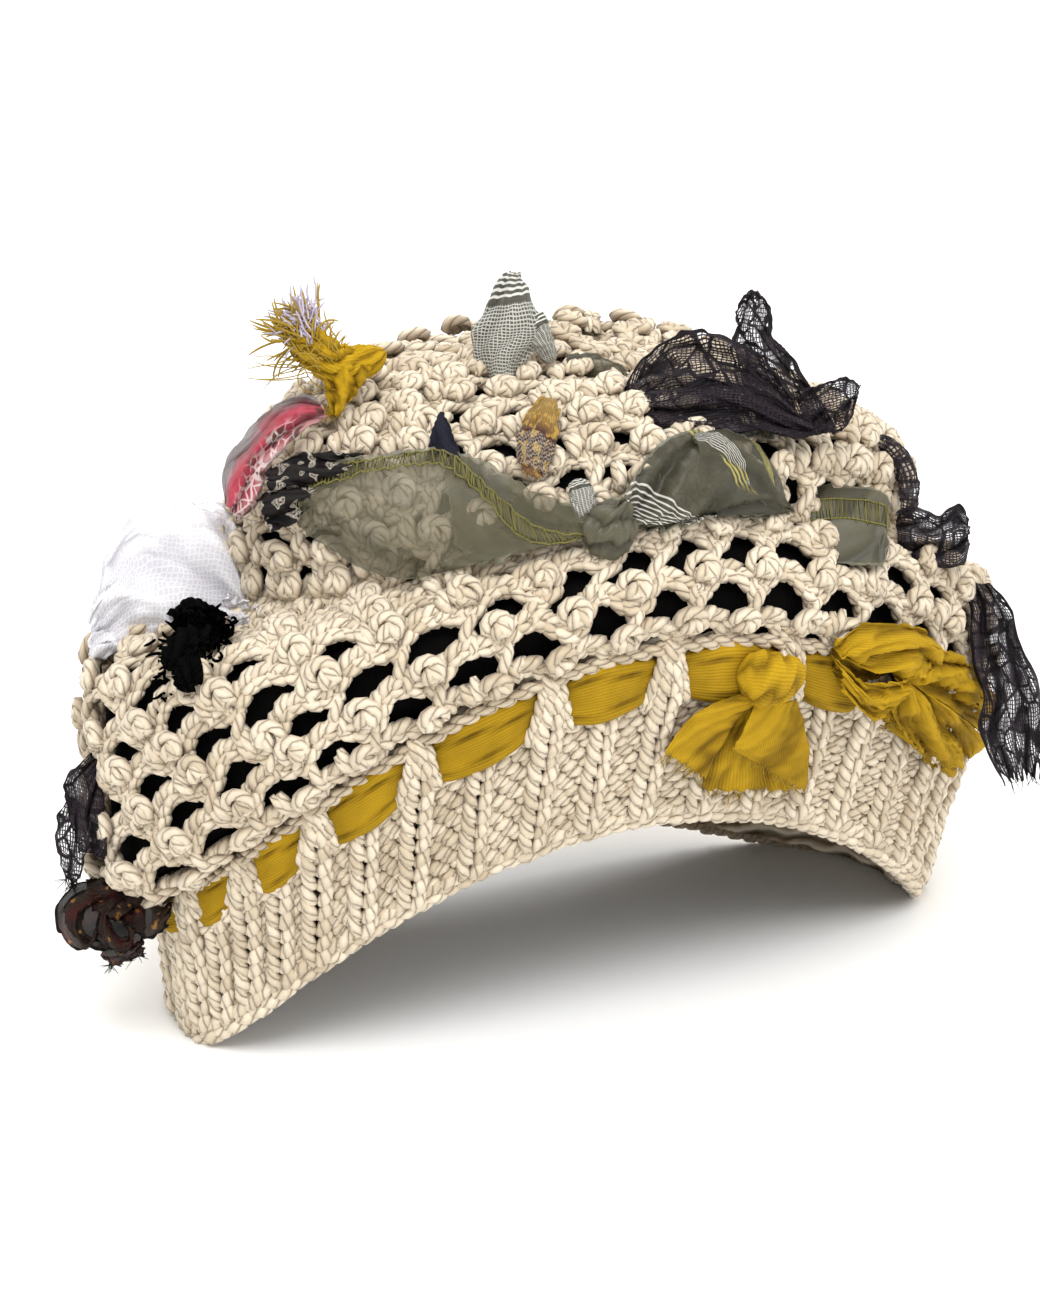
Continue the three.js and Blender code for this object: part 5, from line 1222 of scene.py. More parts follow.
def add_ribbon():
    """The mustard ribbon round the channel: it puffs out between loops and is pinched behind them, with painted shade
    in its creases and pinches.
    """
    loops, _ = rib_angles()
    stops = np.append(loops, loops[0] + TURN)
    knot, _, _ = SIGHT.seen(np.array([RIBBON_KNOT[0]]), np.array([RIBBON_KNOT[1]]))

    def place(u, v):
        angle = knot[0] + u * TURN
        turn = angle % TURN
        k = np.clip(np.searchsorted(stops, turn, side="right") - 1, 0, len(loops) - 1)
        t = (turn - stops[k]) / (stops[k + 1] - stops[k])
        puff = np.abs(np.sin(math.pi * t)) ** 0.75
        w = 2 * v - 1
        low, high = SURFACE.length_at(turn, CHANNEL_LOW), SURFACE.length_at(turn, CHANNEL_HIGH)
        uneven = ripple(61, u * 9, 0 * v, 3)
        half = (3.4 + 5.4 * puff) * (1 + 0.05 * uneven)
        length = (low + high) / 2 + 0.3 * puff + half * w + 0.4 * ripple(62, u * 6, 0 * v)
        first = 0.50 + 0.12 * np.sin(3.1 * k) - 0.5 * (t - 0.5)
        second = -0.62 + 0.1 * np.sin(5.3 * k + 1) + 0.4 * (t - 0.5)
        crease = np.exp(-((w - first) / 0.07) ** 2) + 0.8 * np.exp(-((w - second) / 0.06) ** 2)
        pinch = (1 - puff) * np.sin(2.6 * math.pi * w + 2 * k)
        over = np.clip((-w - 0.35) / 0.4, 0, 1)
        lift = (0.9 + puff * (2.6 + 2.4 * (1 - w ** 2) ** 0.6 + 1.6 * over) - 1.0 * crease * puff + 0.3 * pinch
                + 0.08 * ripple(63, u * 12, v))
        point, _ = SURFACE.place(turn, length, lift)
        # Painted shade: darker in the two creases and where the ribbon is pinched behind a loop
        return point, np.clip(0.62 - 0.6 * crease * puff ** 0.4 + 0.06 * uneven - 0.3 * (1 - puff), 0, 1)
    mesh, _ = sheet_mesh("band_ribbon_cloth", place, 320, 12)
    piece = settle("band_ribbon_cloth", mesh, MATERIALS["mustard"], ["band_ribbon"])
    wall = piece.modifiers.new("Thickness", "SOLIDIFY")
    wall.thickness = 0.4 * MM
    wall.offset = 0


RIBBON_KNOT = (66.0, -3.5)
# Tufts of loose threads: where they start, which way they head, and their spread
TUFTS = [
    {"name": "lavender", "look": "lavender", "slot": "mustard_cloth", "node": "mustard_twist", "root": (-45.9, 63.3),
     "start": (-61.5, 90.5), "heading": 118, "fan": 34, "reach": 9.5, "size": 2.6, "curl": 0.5, "count": 110,
     "radius": 0.3, "near": 1.0},
    {"name": "twist_end", "look": "gold_thread", "slot": "mustard_cloth", "node": "mustard_twist",
     "root": (-45.9, 63.3), "start": (-61.0, 88.5), "heading": 150, "fan": 30, "reach": 13, "size": 2.6, "curl": 0.5,
     "count": 90, "radius": 0.3, "near": 2.0},
    {"name": "twist_stray", "look": "gold_thread", "slot": "mustard_cloth", "node": "mustard_twist",
     "root": (-45.9, 63.3), "start": (-60.0, 81.0), "heading": 185, "fan": 28, "reach": 17, "size": 1.5, "curl": 0.9,
     "count": 9, "radius": 0.16, "near": 1.5},
    {"name": "twist_fibres", "look": "gold_thread", "slot": "mustard_cloth", "node": "mustard_twist",
     "root": (-45.9, 63.3), "start": (-55.5, 83.0), "heading": 135, "fan": 26, "reach": 8, "size": 2.6, "curl": 0.6,
     "count": 60, "radius": 0.2, "near": 3.6},
    {"name": "lobe_end", "look": "gold_thread", "slot": "mustard_cloth", "node": "mustard_twist",
     "root": (-45.9, 63.3), "start": (-54.5, 69.0), "heading": 262, "fan": 20, "reach": 4, "size": 0.8, "curl": 0.4,
     "count": 16, "radius": 0.16, "near": 0.5},
    {"name": "black_fuzz", "look": "tuft", "slot": "dark_lace", "node": "black_tuft", "root": (-92.9, -1.5),
     "start": (-91.0, 1.0), "heading": 90, "fan": 150, "reach": 6.0, "size": 4.2, "curl": 2.4, "count": 230,
     "radius": 0.45, "near": 5.0, "rings": 8},
    {"name": "black_fuzz_low", "look": "tuft", "slot": "dark_lace", "node": "black_tuft", "root": (-92.9, -1.5),
     "start": (-97.0, -7.0), "heading": 240, "fan": 110, "reach": 5.5, "size": 3.4, "curl": 2.2, "count": 110,
     "radius": 0.42, "near": 4.0, "rings": 8},
]
LOOK_SLOTS = {
    "mustard": "mustard_cloth", "organza": "organza", "organza_stitched": "organza",
    "organza_striped": "organza", "organza_hem": "organza", "organza_folded": "organza", "striped": "striped_cloth", "lace": "dark_lace",
    "lace_dense": "dark_lace", "tuft": "dark_lace", "rosette": "dark_lace", "tulle": "white_tulle",
    "pink": "pink_chiffon", "print": "print_cloth", "navy": "navy_cloth", "woven": "woven_strip",
}


# ---- Materials ----

def new_material(name):
    material = bpy.data.materials.new(name)
    material.use_nodes = True
    tree = material.node_tree
    return material, tree, tree.nodes["Principled BSDF"]


def add_node(tree, kind, settings=None, **inputs):
    """A node with its settings and its inputs, each a value or another node's output."""
    node = tree.nodes.new(kind)
    for key, value in (settings or {}).items():
        setattr(node, key, value)
    for key, value in inputs.items():
        socket = node.inputs[int(key[1:])] if key[0] == "i" and key[1:].isdigit() else node.inputs[key.replace("_", " ")]
        if isinstance(value, bpy.types.NodeSocket):
            tree.links.new(value, socket)
        else:
            socket.default_value = value
    return node


def maths(tree, operation, a, b=0.0, c=0.0):
    return add_node(tree, "ShaderNodeMath", {"operation": operation}, i0=a, i1=b, i2=c).outputs[0]


def ramp(tree, factor, *stops):
    node = add_node(tree, "ShaderNodeValToRGB", Fac=factor)
    elements = node.color_ramp.elements
    for place, colour in stops[2:]:
        elements.new(place)
    for element, (place, colour) in zip(elements, sorted(stops)):
        element.position = place
        element.color = (*colour, 1)
    return node.outputs[0]


def mix_colours(tree, factor, a, b, blend="MIX"):
    node = add_node(tree, "ShaderNodeMix", {"data_type": "RGBA", "blend_type": blend})
    for socket, value in ((node.inputs[0], factor), (node.inputs[6], a), (node.inputs[7], b)):
        if isinstance(value, bpy.types.NodeSocket):
            tree.links.new(value, socket)
        elif isinstance(value, (int, float)):
            socket.default_value = value
        else:
            socket.default_value = (*value, 1)
    return node.outputs[2]


def ply_group():
    """Twisted plies of a yarn: grooves and fine fibres along its UV map, with masks for painted shade in the grooves
    and on each strand's inner side.
    """
    group = bpy.data.node_groups.new("yarn_plies", "ShaderNodeTree")
    for name, default in (("Plies", 3.0), ("Pitch", 0.0036)):
        socket = group.interface.new_socket(name=name, in_out="INPUT", socket_type="NodeSocketFloat")
        socket.default_value = default
    for name in ("Groove Shade", "Height", "Lit Side"):
        group.interface.new_socket(name=name, in_out="OUTPUT", socket_type="NodeSocketFloat")
    source = group.nodes.new("NodeGroupInput")
    sink = group.nodes.new("NodeGroupOutput")
    uv = add_node(group, "ShaderNodeUVMap", {"uv_map": "UVMap"})
    split = add_node(group, "ShaderNodeSeparateXYZ", Vector=uv.outputs[0])
    along = maths(group, "DIVIDE", split.outputs[0], source.outputs["Pitch"])
    turn = maths(group, "MULTIPLY_ADD", split.outputs[1], source.outputs["Plies"], along)
    bulge = maths(group, "ABSOLUTE", maths(group, "SINE", maths(group, "MULTIPLY", turn, math.pi)))
    # Groove mask: where painted shade darkens the yarn between its plies
    groove_shade = maths(group, "POWER", maths(group, "SUBTRACT", 1.0, bulge), 3.0)
    fibre_place = add_node(group, "ShaderNodeCombineXYZ", X=maths(group, "MULTIPLY", turn, 7.0),
                           Y=maths(group, "MULTIPLY", split.outputs[0], 180.0),
                           Z=split.outputs[1])
    fibre = add_node(group, "ShaderNodeTexNoise", Vector=fibre_place.outputs[0], Scale=1.0, Detail=2.0)
    height = maths(group, "MULTIPLY_ADD", fibre.outputs[0], 0.35, maths(group, "SQRT", bulge))
    # Lit side: 1 on the strand's outer side, 0 on its inner side, a mask for painted shade
    upward = maths(group, "SINE", maths(group, "MULTIPLY", split.outputs[1], TURN))
    crest = add_node(group, "ShaderNodeMapRange", Value=upward, From_Min=-0.45, From_Max=0.7).outputs[0]
    group.links.new(crest, sink.inputs["Lit Side"])
    group.links.new(groove_shade, sink.inputs["Groove Shade"])
    group.links.new(height, sink.inputs["Height"])
    return group


def yarn_material(light, mid, groove_shade, plies):
    material, tree, shader = new_material("cream_yarn")
    ply = add_node(tree, "ShaderNodeGroup", {"node_tree": plies})
    place = add_node(tree, "ShaderNodeTexCoord").outputs["Object"]
    tint = add_node(tree, "ShaderNodeAttribute", {"attribute_name": "tint"}).outputs["Fac"]
    patch = add_node(tree, "ShaderNodeTexNoise", Vector=place, Scale=22.0, Detail=2.0).outputs[0]
    fleck = add_node(tree, "ShaderNodeTexNoise", Vector=place, Scale=420.0, Detail=2.0).outputs[0]
    tone = maths(tree, "MULTIPLY_ADD", tint, 0.45, maths(tree, "MULTIPLY", patch, 0.75))
    colour = ramp(tree, tone, (0.25, mid), (0.75, light))
    # Painted shade on each strand's inner side, away from its outer, lit side
    colour = mix_colours(tree, ply.outputs["Lit Side"], mix_colours(tree, 0.55, colour, groove_shade), colour)
    # Painted shade in the grooves between plies
    colour = mix_colours(tree, maths(tree, "MULTIPLY", ply.outputs["Groove Shade"], 0.66), colour, groove_shade)
    colour = mix_colours(tree, 0.16, colour, ramp(tree, fleck, (0.35, (0.35, 0.28, 0.2)), (0.65, (1, 0.98, 0.93))),
                         "MULTIPLY")
    bump = add_node(tree, "ShaderNodeBump", Strength=0.9, Distance=0.0007, Height=ply.outputs["Height"])
    tree.links.new(colour, shader.inputs["Base Color"])
    tree.links.new(bump.outputs[0], shader.inputs["Normal"])
    shader.inputs["Roughness"].default_value = 0.88
    shader.inputs["Specular IOR Level"].default_value = 0.25
    shader.inputs["Sheen Weight"].default_value = 0.25
    shader.inputs["Sheen Roughness"].default_value = 0.5
    return material


def inner_knit_material(light, mid, groove_shade):
    """The band's inside: rows of small stitches along its ribs, with painted shade between the rows."""
    material, tree, shader = new_material("cream_inner_knit")
    place = add_node(tree, "ShaderNodeTexCoord").outputs["Object"]
    rows = add_node(tree, "ShaderNodeTexWave", {"wave_type": "BANDS", "bands_direction": "Z"}, Vector=place,
                    Scale=68.0, Distortion=2.6, **{"Detail Scale": 2.0})
    patch = add_node(tree, "ShaderNodeTexNoise", Vector=place, Scale=120.0, Detail=3.0).outputs[0]
    tone = maths(tree, "MULTIPLY_ADD", rows.outputs["Fac"], 0.6, maths(tree, "MULTIPLY", patch, 0.6))
    # Painted shade between the rows of stitches, with random tone from the noise
    colour = ramp(tree, tone, (0.25, groove_shade), (0.5, mid), (0.85, light))
    bump = add_node(tree, "ShaderNodeBump", Strength=0.9, Distance=0.0016, Height=rows.outputs["Fac"])
    tree.links.new(colour, shader.inputs["Base Color"])
    tree.links.new(bump.outputs[0], shader.inputs["Normal"])
    shader.inputs["Roughness"].default_value = 0.9
    shader.inputs["Specular IOR Level"].default_value = 0.2
    return material


def lining_material():
    material, tree, shader = new_material("black_jersey")
    place = add_node(tree, "ShaderNodeTexCoord").outputs["Object"]
    knit = add_node(tree, "ShaderNodeTexWave", {"wave_type": "BANDS"}, Vector=place, Scale=260.0, Distortion=1.5)
    noise = add_node(tree, "ShaderNodeTexNoise", Vector=place, Scale=60.0)
    colour = ramp(tree, noise.outputs[0], (0.3, (0.002, 0.002, 0.002)), (0.7, (0.006, 0.005, 0.005)))
    bump = add_node(tree, "ShaderNodeBump", Strength=0.4, Distance=0.0003, Height=knit.outputs["Fac"])
    tree.links.new(colour, shader.inputs["Base Color"])
    tree.links.new(bump.outputs[0], shader.inputs["Normal"])
    shader.inputs["Roughness"].default_value = 0.95
    shader.inputs["Specular IOR Level"].default_value = 0.1
    return material


def thread_group():
    """Woven threads on the UV map in metres: relief, and a wave across each set of threads."""
    group = bpy.data.node_groups.new("woven_threads", "ShaderNodeTree")
    for name, default in (("Rib", 0.0009), ("Cross", 0.0006)):
        socket = group.interface.new_socket(name=name, in_out="INPUT", socket_type="NodeSocketFloat")
        socket.default_value = default
    for name in ("Height", "Rib Thread", "Cross Thread"):
        group.interface.new_socket(name=name, in_out="OUTPUT", socket_type="NodeSocketFloat")
    source = group.nodes.new("NodeGroupInput")
    sink = group.nodes.new("NodeGroupOutput")
    uv = add_node(group, "ShaderNodeUVMap", {"uv_map": "UVMap"})
    wobble = add_node(group, "ShaderNodeTexNoise", Vector=uv.outputs[0], Scale=90.0, Detail=1.0).outputs[0]
    split = add_node(group, "ShaderNodeSeparateXYZ", Vector=uv.outputs[0])
    waves = []
    for axis, name in ((1, "Rib"), (0, "Cross")):
        turn = maths(group, "DIVIDE", split.outputs[axis], source.outputs[name])
        turn = maths(group, "MULTIPLY_ADD", wobble, 0.8, turn)
        waves.append(maths(group, "ABSOLUTE", maths(group, "SINE", maths(group, "MULTIPLY", turn, math.pi))))
    height = maths(group, "MULTIPLY_ADD", waves[1], 0.35, waves[0])
    group.links.new(height, sink.inputs["Height"])
    group.links.new(waves[0], sink.inputs["Rib Thread"])
    group.links.new(waves[1], sink.inputs["Cross Thread"])
    return group


def band_mask(tree, value, low, high, soft=0.01):
    """1 where value lies between low and high."""
    rise = add_node(tree, "ShaderNodeMapRange", {"interpolation_type": "SMOOTHSTEP"}, Value=value,
                    From_Min=low - soft, From_Max=low + soft).outputs[0]
    fall = add_node(tree, "ShaderNodeMapRange", {"interpolation_type": "SMOOTHSTEP"}, Value=value,
                    From_Min=high + soft, From_Max=high - soft).outputs[0]
    return maths(tree, "MULTIPLY", rise, fall)


def stripe_mask(tree, value, low, high, count, width):
    """Evenly spaced stripes of value between low and high."""
    pitch = (high - low) / count
    turn = maths(tree, "FRACT", maths(tree, "DIVIDE", maths(tree, "SUBTRACT", value, low), pitch))
    return maths(tree, "MULTIPLY", band_mask(tree, turn, 0.5 - width / 2, 0.5 + width / 2, 0.06),
                 band_mask(tree, value, low, high, 0.002))


def share_axes(tree):
    uv = add_node(tree, "ShaderNodeUVMap", {"uv_map": "Share"})
    split = add_node(tree, "ShaderNodeSeparateXYZ", Vector=uv.outputs[0])
    return split.outputs[0], split.outputs[1]


def metre_noise(tree, scale, detail=2.0):
    uv = add_node(tree, "ShaderNodeUVMap", {"uv_map": "UVMap"})
    return add_node(tree, "ShaderNodeTexNoise", Vector=uv.outputs[0], Scale=scale, Detail=detail).outputs[0]


def cell_edges(tree, scale, width, random=0.9):
    """1 on the threads between net cells."""
    uv = add_node(tree, "ShaderNodeUVMap", {"uv_map": "UVMap"})
    cells = add_node(tree, "ShaderNodeTexVoronoi", {"feature": "DISTANCE_TO_EDGE"}, Vector=uv.outputs[0],
                     Scale=scale, Randomness=random).outputs[0]
    return add_node(tree, "ShaderNodeMapRange", Value=cells, From_Min=width, From_Max=width * 0.6).outputs[0]


def cloth_material(name, threads, dark, light, rib, cross, bump, rough, sheen, dress=None, specular=0.3):
    """A woven cloth with fold shading, thread relief and its own pattern and openness."""
    material, tree, shader = new_material(name)
    weave = add_node(tree, "ShaderNodeGroup", {"node_tree": threads}, Rib=rib * MM, Cross=cross * MM)
    shade = add_node(tree, "ShaderNodeAttribute", {"attribute_name": "shade"}).outputs["Fac"]
    tone = maths(tree, "MULTIPLY_ADD", weave.outputs["Height"], 0.12,
                 maths(tree, "MULTIPLY_ADD", metre_noise(tree, 120.0), 0.3, maths(tree, "MULTIPLY", shade, 0.6)))
    colour = ramp(tree, tone, (0.22, dark), (0.8, light))
    if dress:
        colour, alpha = dress(tree, colour, weave)
        if alpha is not None:
            tree.links.new(alpha, shader.inputs["Alpha"])
    relief = add_node(tree, "ShaderNodeBump", Strength=bump, Distance=0.0004, Height=weave.outputs["Height"])
    tree.links.new(colour, shader.inputs["Base Color"])
    tree.links.new(relief.outputs[0], shader.inputs["Normal"])
    shader.inputs["Roughness"].default_value = rough
    shader.inputs["Specular IOR Level"].default_value = specular
    shader.inputs["Sheen Weight"].default_value = sheen
    shader.inputs["Sheen Roughness"].default_value = 0.4
    return material


def edge_mask(tree, width):
    """1 along the sides and the far end of a cloth, for hems and borders."""
    u, v = share_axes(tree)
    side = maths(tree, "ABSOLUTE", maths(tree, "MULTIPLY_ADD", v, 2.0, -1.0))
    rim = maths(tree, "MAXIMUM", side, maths(tree, "MULTIPLY_ADD", u, 2.0, -1.0))
    return add_node(tree, "ShaderNodeMapRange", Value=rim, From_Min=1 - 2 * width, From_Max=1 - 1.4 * width).outputs[0]


def sheer(low, high):
    """Glassy openness of a sheer cloth: denser in folds, along hems and in patches."""
    def dress(tree, colour, weave):
        shade = add_node(tree, "ShaderNodeAttribute", {"attribute_name": "shade"}).outputs["Fac"]
        patch = metre_noise(tree, 55.0, 1.0)
        fold = maths(tree, "MULTIPLY_ADD", shade, -0.75, maths(tree, "MULTIPLY_ADD", patch, 0.8, 0.45))
        alpha = add_node(tree, "ShaderNodeMapRange", Value=fold, From_Min=0.1, From_Max=0.9, To_Min=low,
                         To_Max=high).outputs[0]
        hem = edge_mask(tree, 0.03)
        colour = mix_colours(tree, maths(tree, "MULTIPLY", hem, 0.35), colour, (0.30, 0.29, 0.21))
        return colour, maths(tree, "MAXIMUM", alpha, maths(tree, "MULTIPLY", hem, high))
    return dress


def dress_organza_striped(tree, colour, weave):
    colour, alpha = sheer(0.5, 0.92)(tree, colour, weave)
    u, v = share_axes(tree)
    slant = maths(tree, "MULTIPLY_ADD", u, -2.4, v)
    white = stripe_mask(tree, slant, -0.28, 0.2, 8, 0.33)
    gold = maths(tree, "MULTIPLY", stripe_mask(tree, slant, -1.3, -1.0, 4, 0.5), band_mask(tree, v, -0.1, 0.45, 0.04))
    colour = mix_colours(tree, maths(tree, "MULTIPLY", white, 0.85), colour, (0.62, 0.6, 0.55))
    colour = mix_colours(tree, maths(tree, "MULTIPLY", gold, 0.8), colour, (0.42, 0.36, 0.10))
    return colour, maths(tree, "MAXIMUM", alpha, maths(tree, "MAXIMUM", white, gold))


def dress_striped(tree, colour, weave):
    """Broad white stripes at one end and a fine white grid over the rest."""
    u, v = share_axes(tree)
    broad = stripe_mask(tree, u, 0.0, 0.25, 5, 0.45)
    fine = maths(tree, "MAXIMUM", stripe_mask(tree, u, 0.3, 1.0, 29, 0.36), stripe_mask(tree, v, 0.0, 1.0, 20, 0.25))
    fine = maths(tree, "MULTIPLY", fine, band_mask(tree, u, 0.3, 1.01))
    white = maths(tree, "MAXIMUM", broad, maths(tree, "MULTIPLY", fine, 0.8))
    colour = mix_colours(tree, maths(tree, "MULTIPLY", white, 0.9), colour, (0.70, 0.69, 0.62))
    return colour, maths(tree, "MAXIMUM", maths(tree, "MULTIPLY_ADD", metre_noise(tree, 80.0), 0.3, 0.75), white)


def dress_lace(open_share):
    """Machine lace: fine thread lines in an open net, with dense patches and a corded edge."""
    def dress(tree, colour, weave):
        lines = add_node(tree, "ShaderNodeMapRange", Value=weave.outputs["Rib Thread"], From_Min=0.52 - open_share,
                         From_Max=0.68 - open_share, To_Min=1.0, To_Max=0.0).outputs[0]
        bars = add_node(tree, "ShaderNodeMapRange", Value=weave.outputs["Cross Thread"], From_Min=0.28,
                        From_Max=0.42, To_Min=1.0, To_Max=0.0).outputs[0]
        shade = add_node(tree, "ShaderNodeAttribute", {"attribute_name": "shade"}).outputs["Fac"]
        dense = maths(tree, "MULTIPLY_ADD", shade, -0.5, maths(tree, "ADD", metre_noise(tree, 75.0, 1.5), 0.25))
        dense = add_node(tree, "ShaderNodeMapRange", Value=dense, From_Min=0.50 + 0.6 * open_share,
                         From_Max=0.68 + 0.6 * open_share).outputs[0]
        leaves = maths(tree, "MAXIMUM", cell_edges(tree, 150.0, 0.07), edge_mask(tree, 0.045))
        solid = maths(tree, "MAXIMUM", maths(tree, "MAXIMUM", lines, bars), leaves)
        solid = maths(tree, "MAXIMUM", solid, dense)
        colour = mix_colours(tree, maths(tree, "MULTIPLY", leaves, 0.7), colour, (0.003, 0.002, 0.003))
        return colour, maths(tree, "MULTIPLY_ADD", solid, 0.86, 0.08)
    return dress


def dress_tulle(tree, colour, weave):
    net = cell_edges(tree, 700.0, 0.16, 0.35)
    shade = add_node(tree, "ShaderNodeAttribute", {"attribute_name": "shade"}).outputs["Fac"]
    veil = maths(tree, "MULTIPLY_ADD", shade, 0.3, maths(tree, "MULTIPLY_ADD", metre_noise(tree, 60.0), 0.3, 0.16))
    solid = maths(tree, "MAXIMUM", maths(tree, "MULTIPLY", net, 0.2), maths(tree, "MULTIPLY", edge_mask(tree, 0.02), 0.8))
    return colour, maths(tree, "ADD", solid, veil)


def dress_pink(tree, colour, weave):
    """Printed chiffon: grey sheer edge, rose middle, maroon blotches and white net lines below."""
    u, v = share_axes(tree)
    wander = maths(tree, "MULTIPLY_ADD", metre_noise(tree, 90.0), 0.6, maths(tree, "SUBTRACT", v, 0.3))
    colour = ramp(tree, wander, (0.08, (0.22, 0.19, 0.19)), (0.24, (0.40, 0.13, 0.16)), (0.4, (0.50, 0.045, 0.085)),
                  (0.7, (0.36, 0.035, 0.06)), (0.92, (0.45, 0.22, 0.22)))
    blotch = add_node(tree, "ShaderNodeMapRange", Value=metre_noise(tree, 130.0, 2.0), From_Min=0.5,
                      From_Max=0.58).outputs[0]
    blotch = maths(tree, "MULTIPLY", blotch, band_mask(tree, v, 0.42, 1.1, 0.15))
    colour = mix_colours(tree, maths(tree, "MULTIPLY", blotch, 0.88), colour, (0.065, 0.022, 0.016))
    net = maths(tree, "MULTIPLY", cell_edges(tree, 330.0, 0.10), band_mask(tree, v, 0.5, 1.1, 0.12))
    net = maths(tree, "MULTIPLY", net, band_mask(tree, u, 0.3, 1.1, 0.15))
    return mix_colours(tree, maths(tree, "MULTIPLY", net, 0.75), colour, (0.8, 0.66, 0.64)), maths(
        tree, "MULTIPLY_ADD", wander, 0.3, 0.68)


def dress_print(tree, colour, weave):
    """Off-white leaves outlined in glitter on a sheer black ground."""
    leaf = metre_noise(tree, 210.0, 1.0)
    fleck = add_node(tree, "ShaderNodeMapRange", Value=leaf, From_Min=0.585, From_Max=0.61).outputs[0]
    rim = band_mask(tree, leaf, 0.565, 0.59, 0.01)
    grain = add_node(tree, "ShaderNodeMapRange", Value=metre_noise(tree, 1500.0, 1.0), From_Min=0.4,
                     From_Max=0.6).outputs[0]
    mark = maths(tree, "MAXIMUM", maths(tree, "MULTIPLY", fleck, grain), maths(tree, "MULTIPLY", rim, 0.9))
    return mix_colours(tree, maths(tree, "MULTIPLY", mark, 0.85), colour, (0.52, 0.46, 0.38)), None


def dress_rosette(tree, colour, weave):
    maroon = add_node(tree, "ShaderNodeMapRange", Value=metre_noise(tree, 90.0, 1.0), From_Min=0.5,
                      From_Max=0.6).outputs[0]
    gold = add_node(tree, "ShaderNodeMapRange", Value=metre_noise(tree, 260.0, 1.0), From_Min=0.64,
                    From_Max=0.69).outputs[0]
    colour = mix_colours(tree, maths(tree, "MULTIPLY", maroon, 0.6), colour, (0.075, 0.012, 0.012))
    colour = mix_colours(tree, maths(tree, "MULTIPLY", gold, 0.7), colour, (0.36, 0.17, 0.035))
    rim = edge_mask(tree, 0.06)
    colour = mix_colours(tree, rim, colour, (0.004, 0.003, 0.003))
    alpha = maths(tree, "MULTIPLY_ADD", metre_noise(tree, 60.0), 0.5, 0.56)
    return colour, maths(tree, "MAXIMUM", maths(tree, "MAXIMUM", alpha, rim), maths(tree, "MULTIPLY", gold, 0.9))


def dress_woven(tree, colour, weave):
    """Gold weave at the top, a maroon line, a black and white knit and a warm lower edge."""
    u, _ = share_axes(tree)
    check = add_node(tree, "ShaderNodeTexChecker", Vector=add_node(tree, "ShaderNodeUVMap", {"uv_map": "UVMap"})
                     .outputs[0], Scale=1500.0).outputs["Fac"]
    zones = ramp(tree, u, (0.0, (0.36, 0.22, 0.04)), (0.3, (0.26, 0.14, 0.02)), (0.42, (0.07, 0.022, 0.01)),
                 (0.7, (0.045, 0.018, 0.01)), (0.88, (0.13, 0.055, 0.02)), (1.0, (0.24, 0.12, 0.035)))
    gold = maths(tree, "GREATER_THAN", metre_noise(tree, 420.0, 1.0), 0.56)
    zones = mix_colours(tree, maths(tree, "MULTIPLY", gold, 0.7), zones, (0.50, 0.31, 0.055))
    speck = maths(tree, "MULTIPLY", check, band_mask(tree, u, 0.45, 0.86))
    colour = mix_colours(tree, maths(tree, "MULTIPLY", speck, 0.42), zones, (0.55, 0.50, 0.42))
    return colour, None


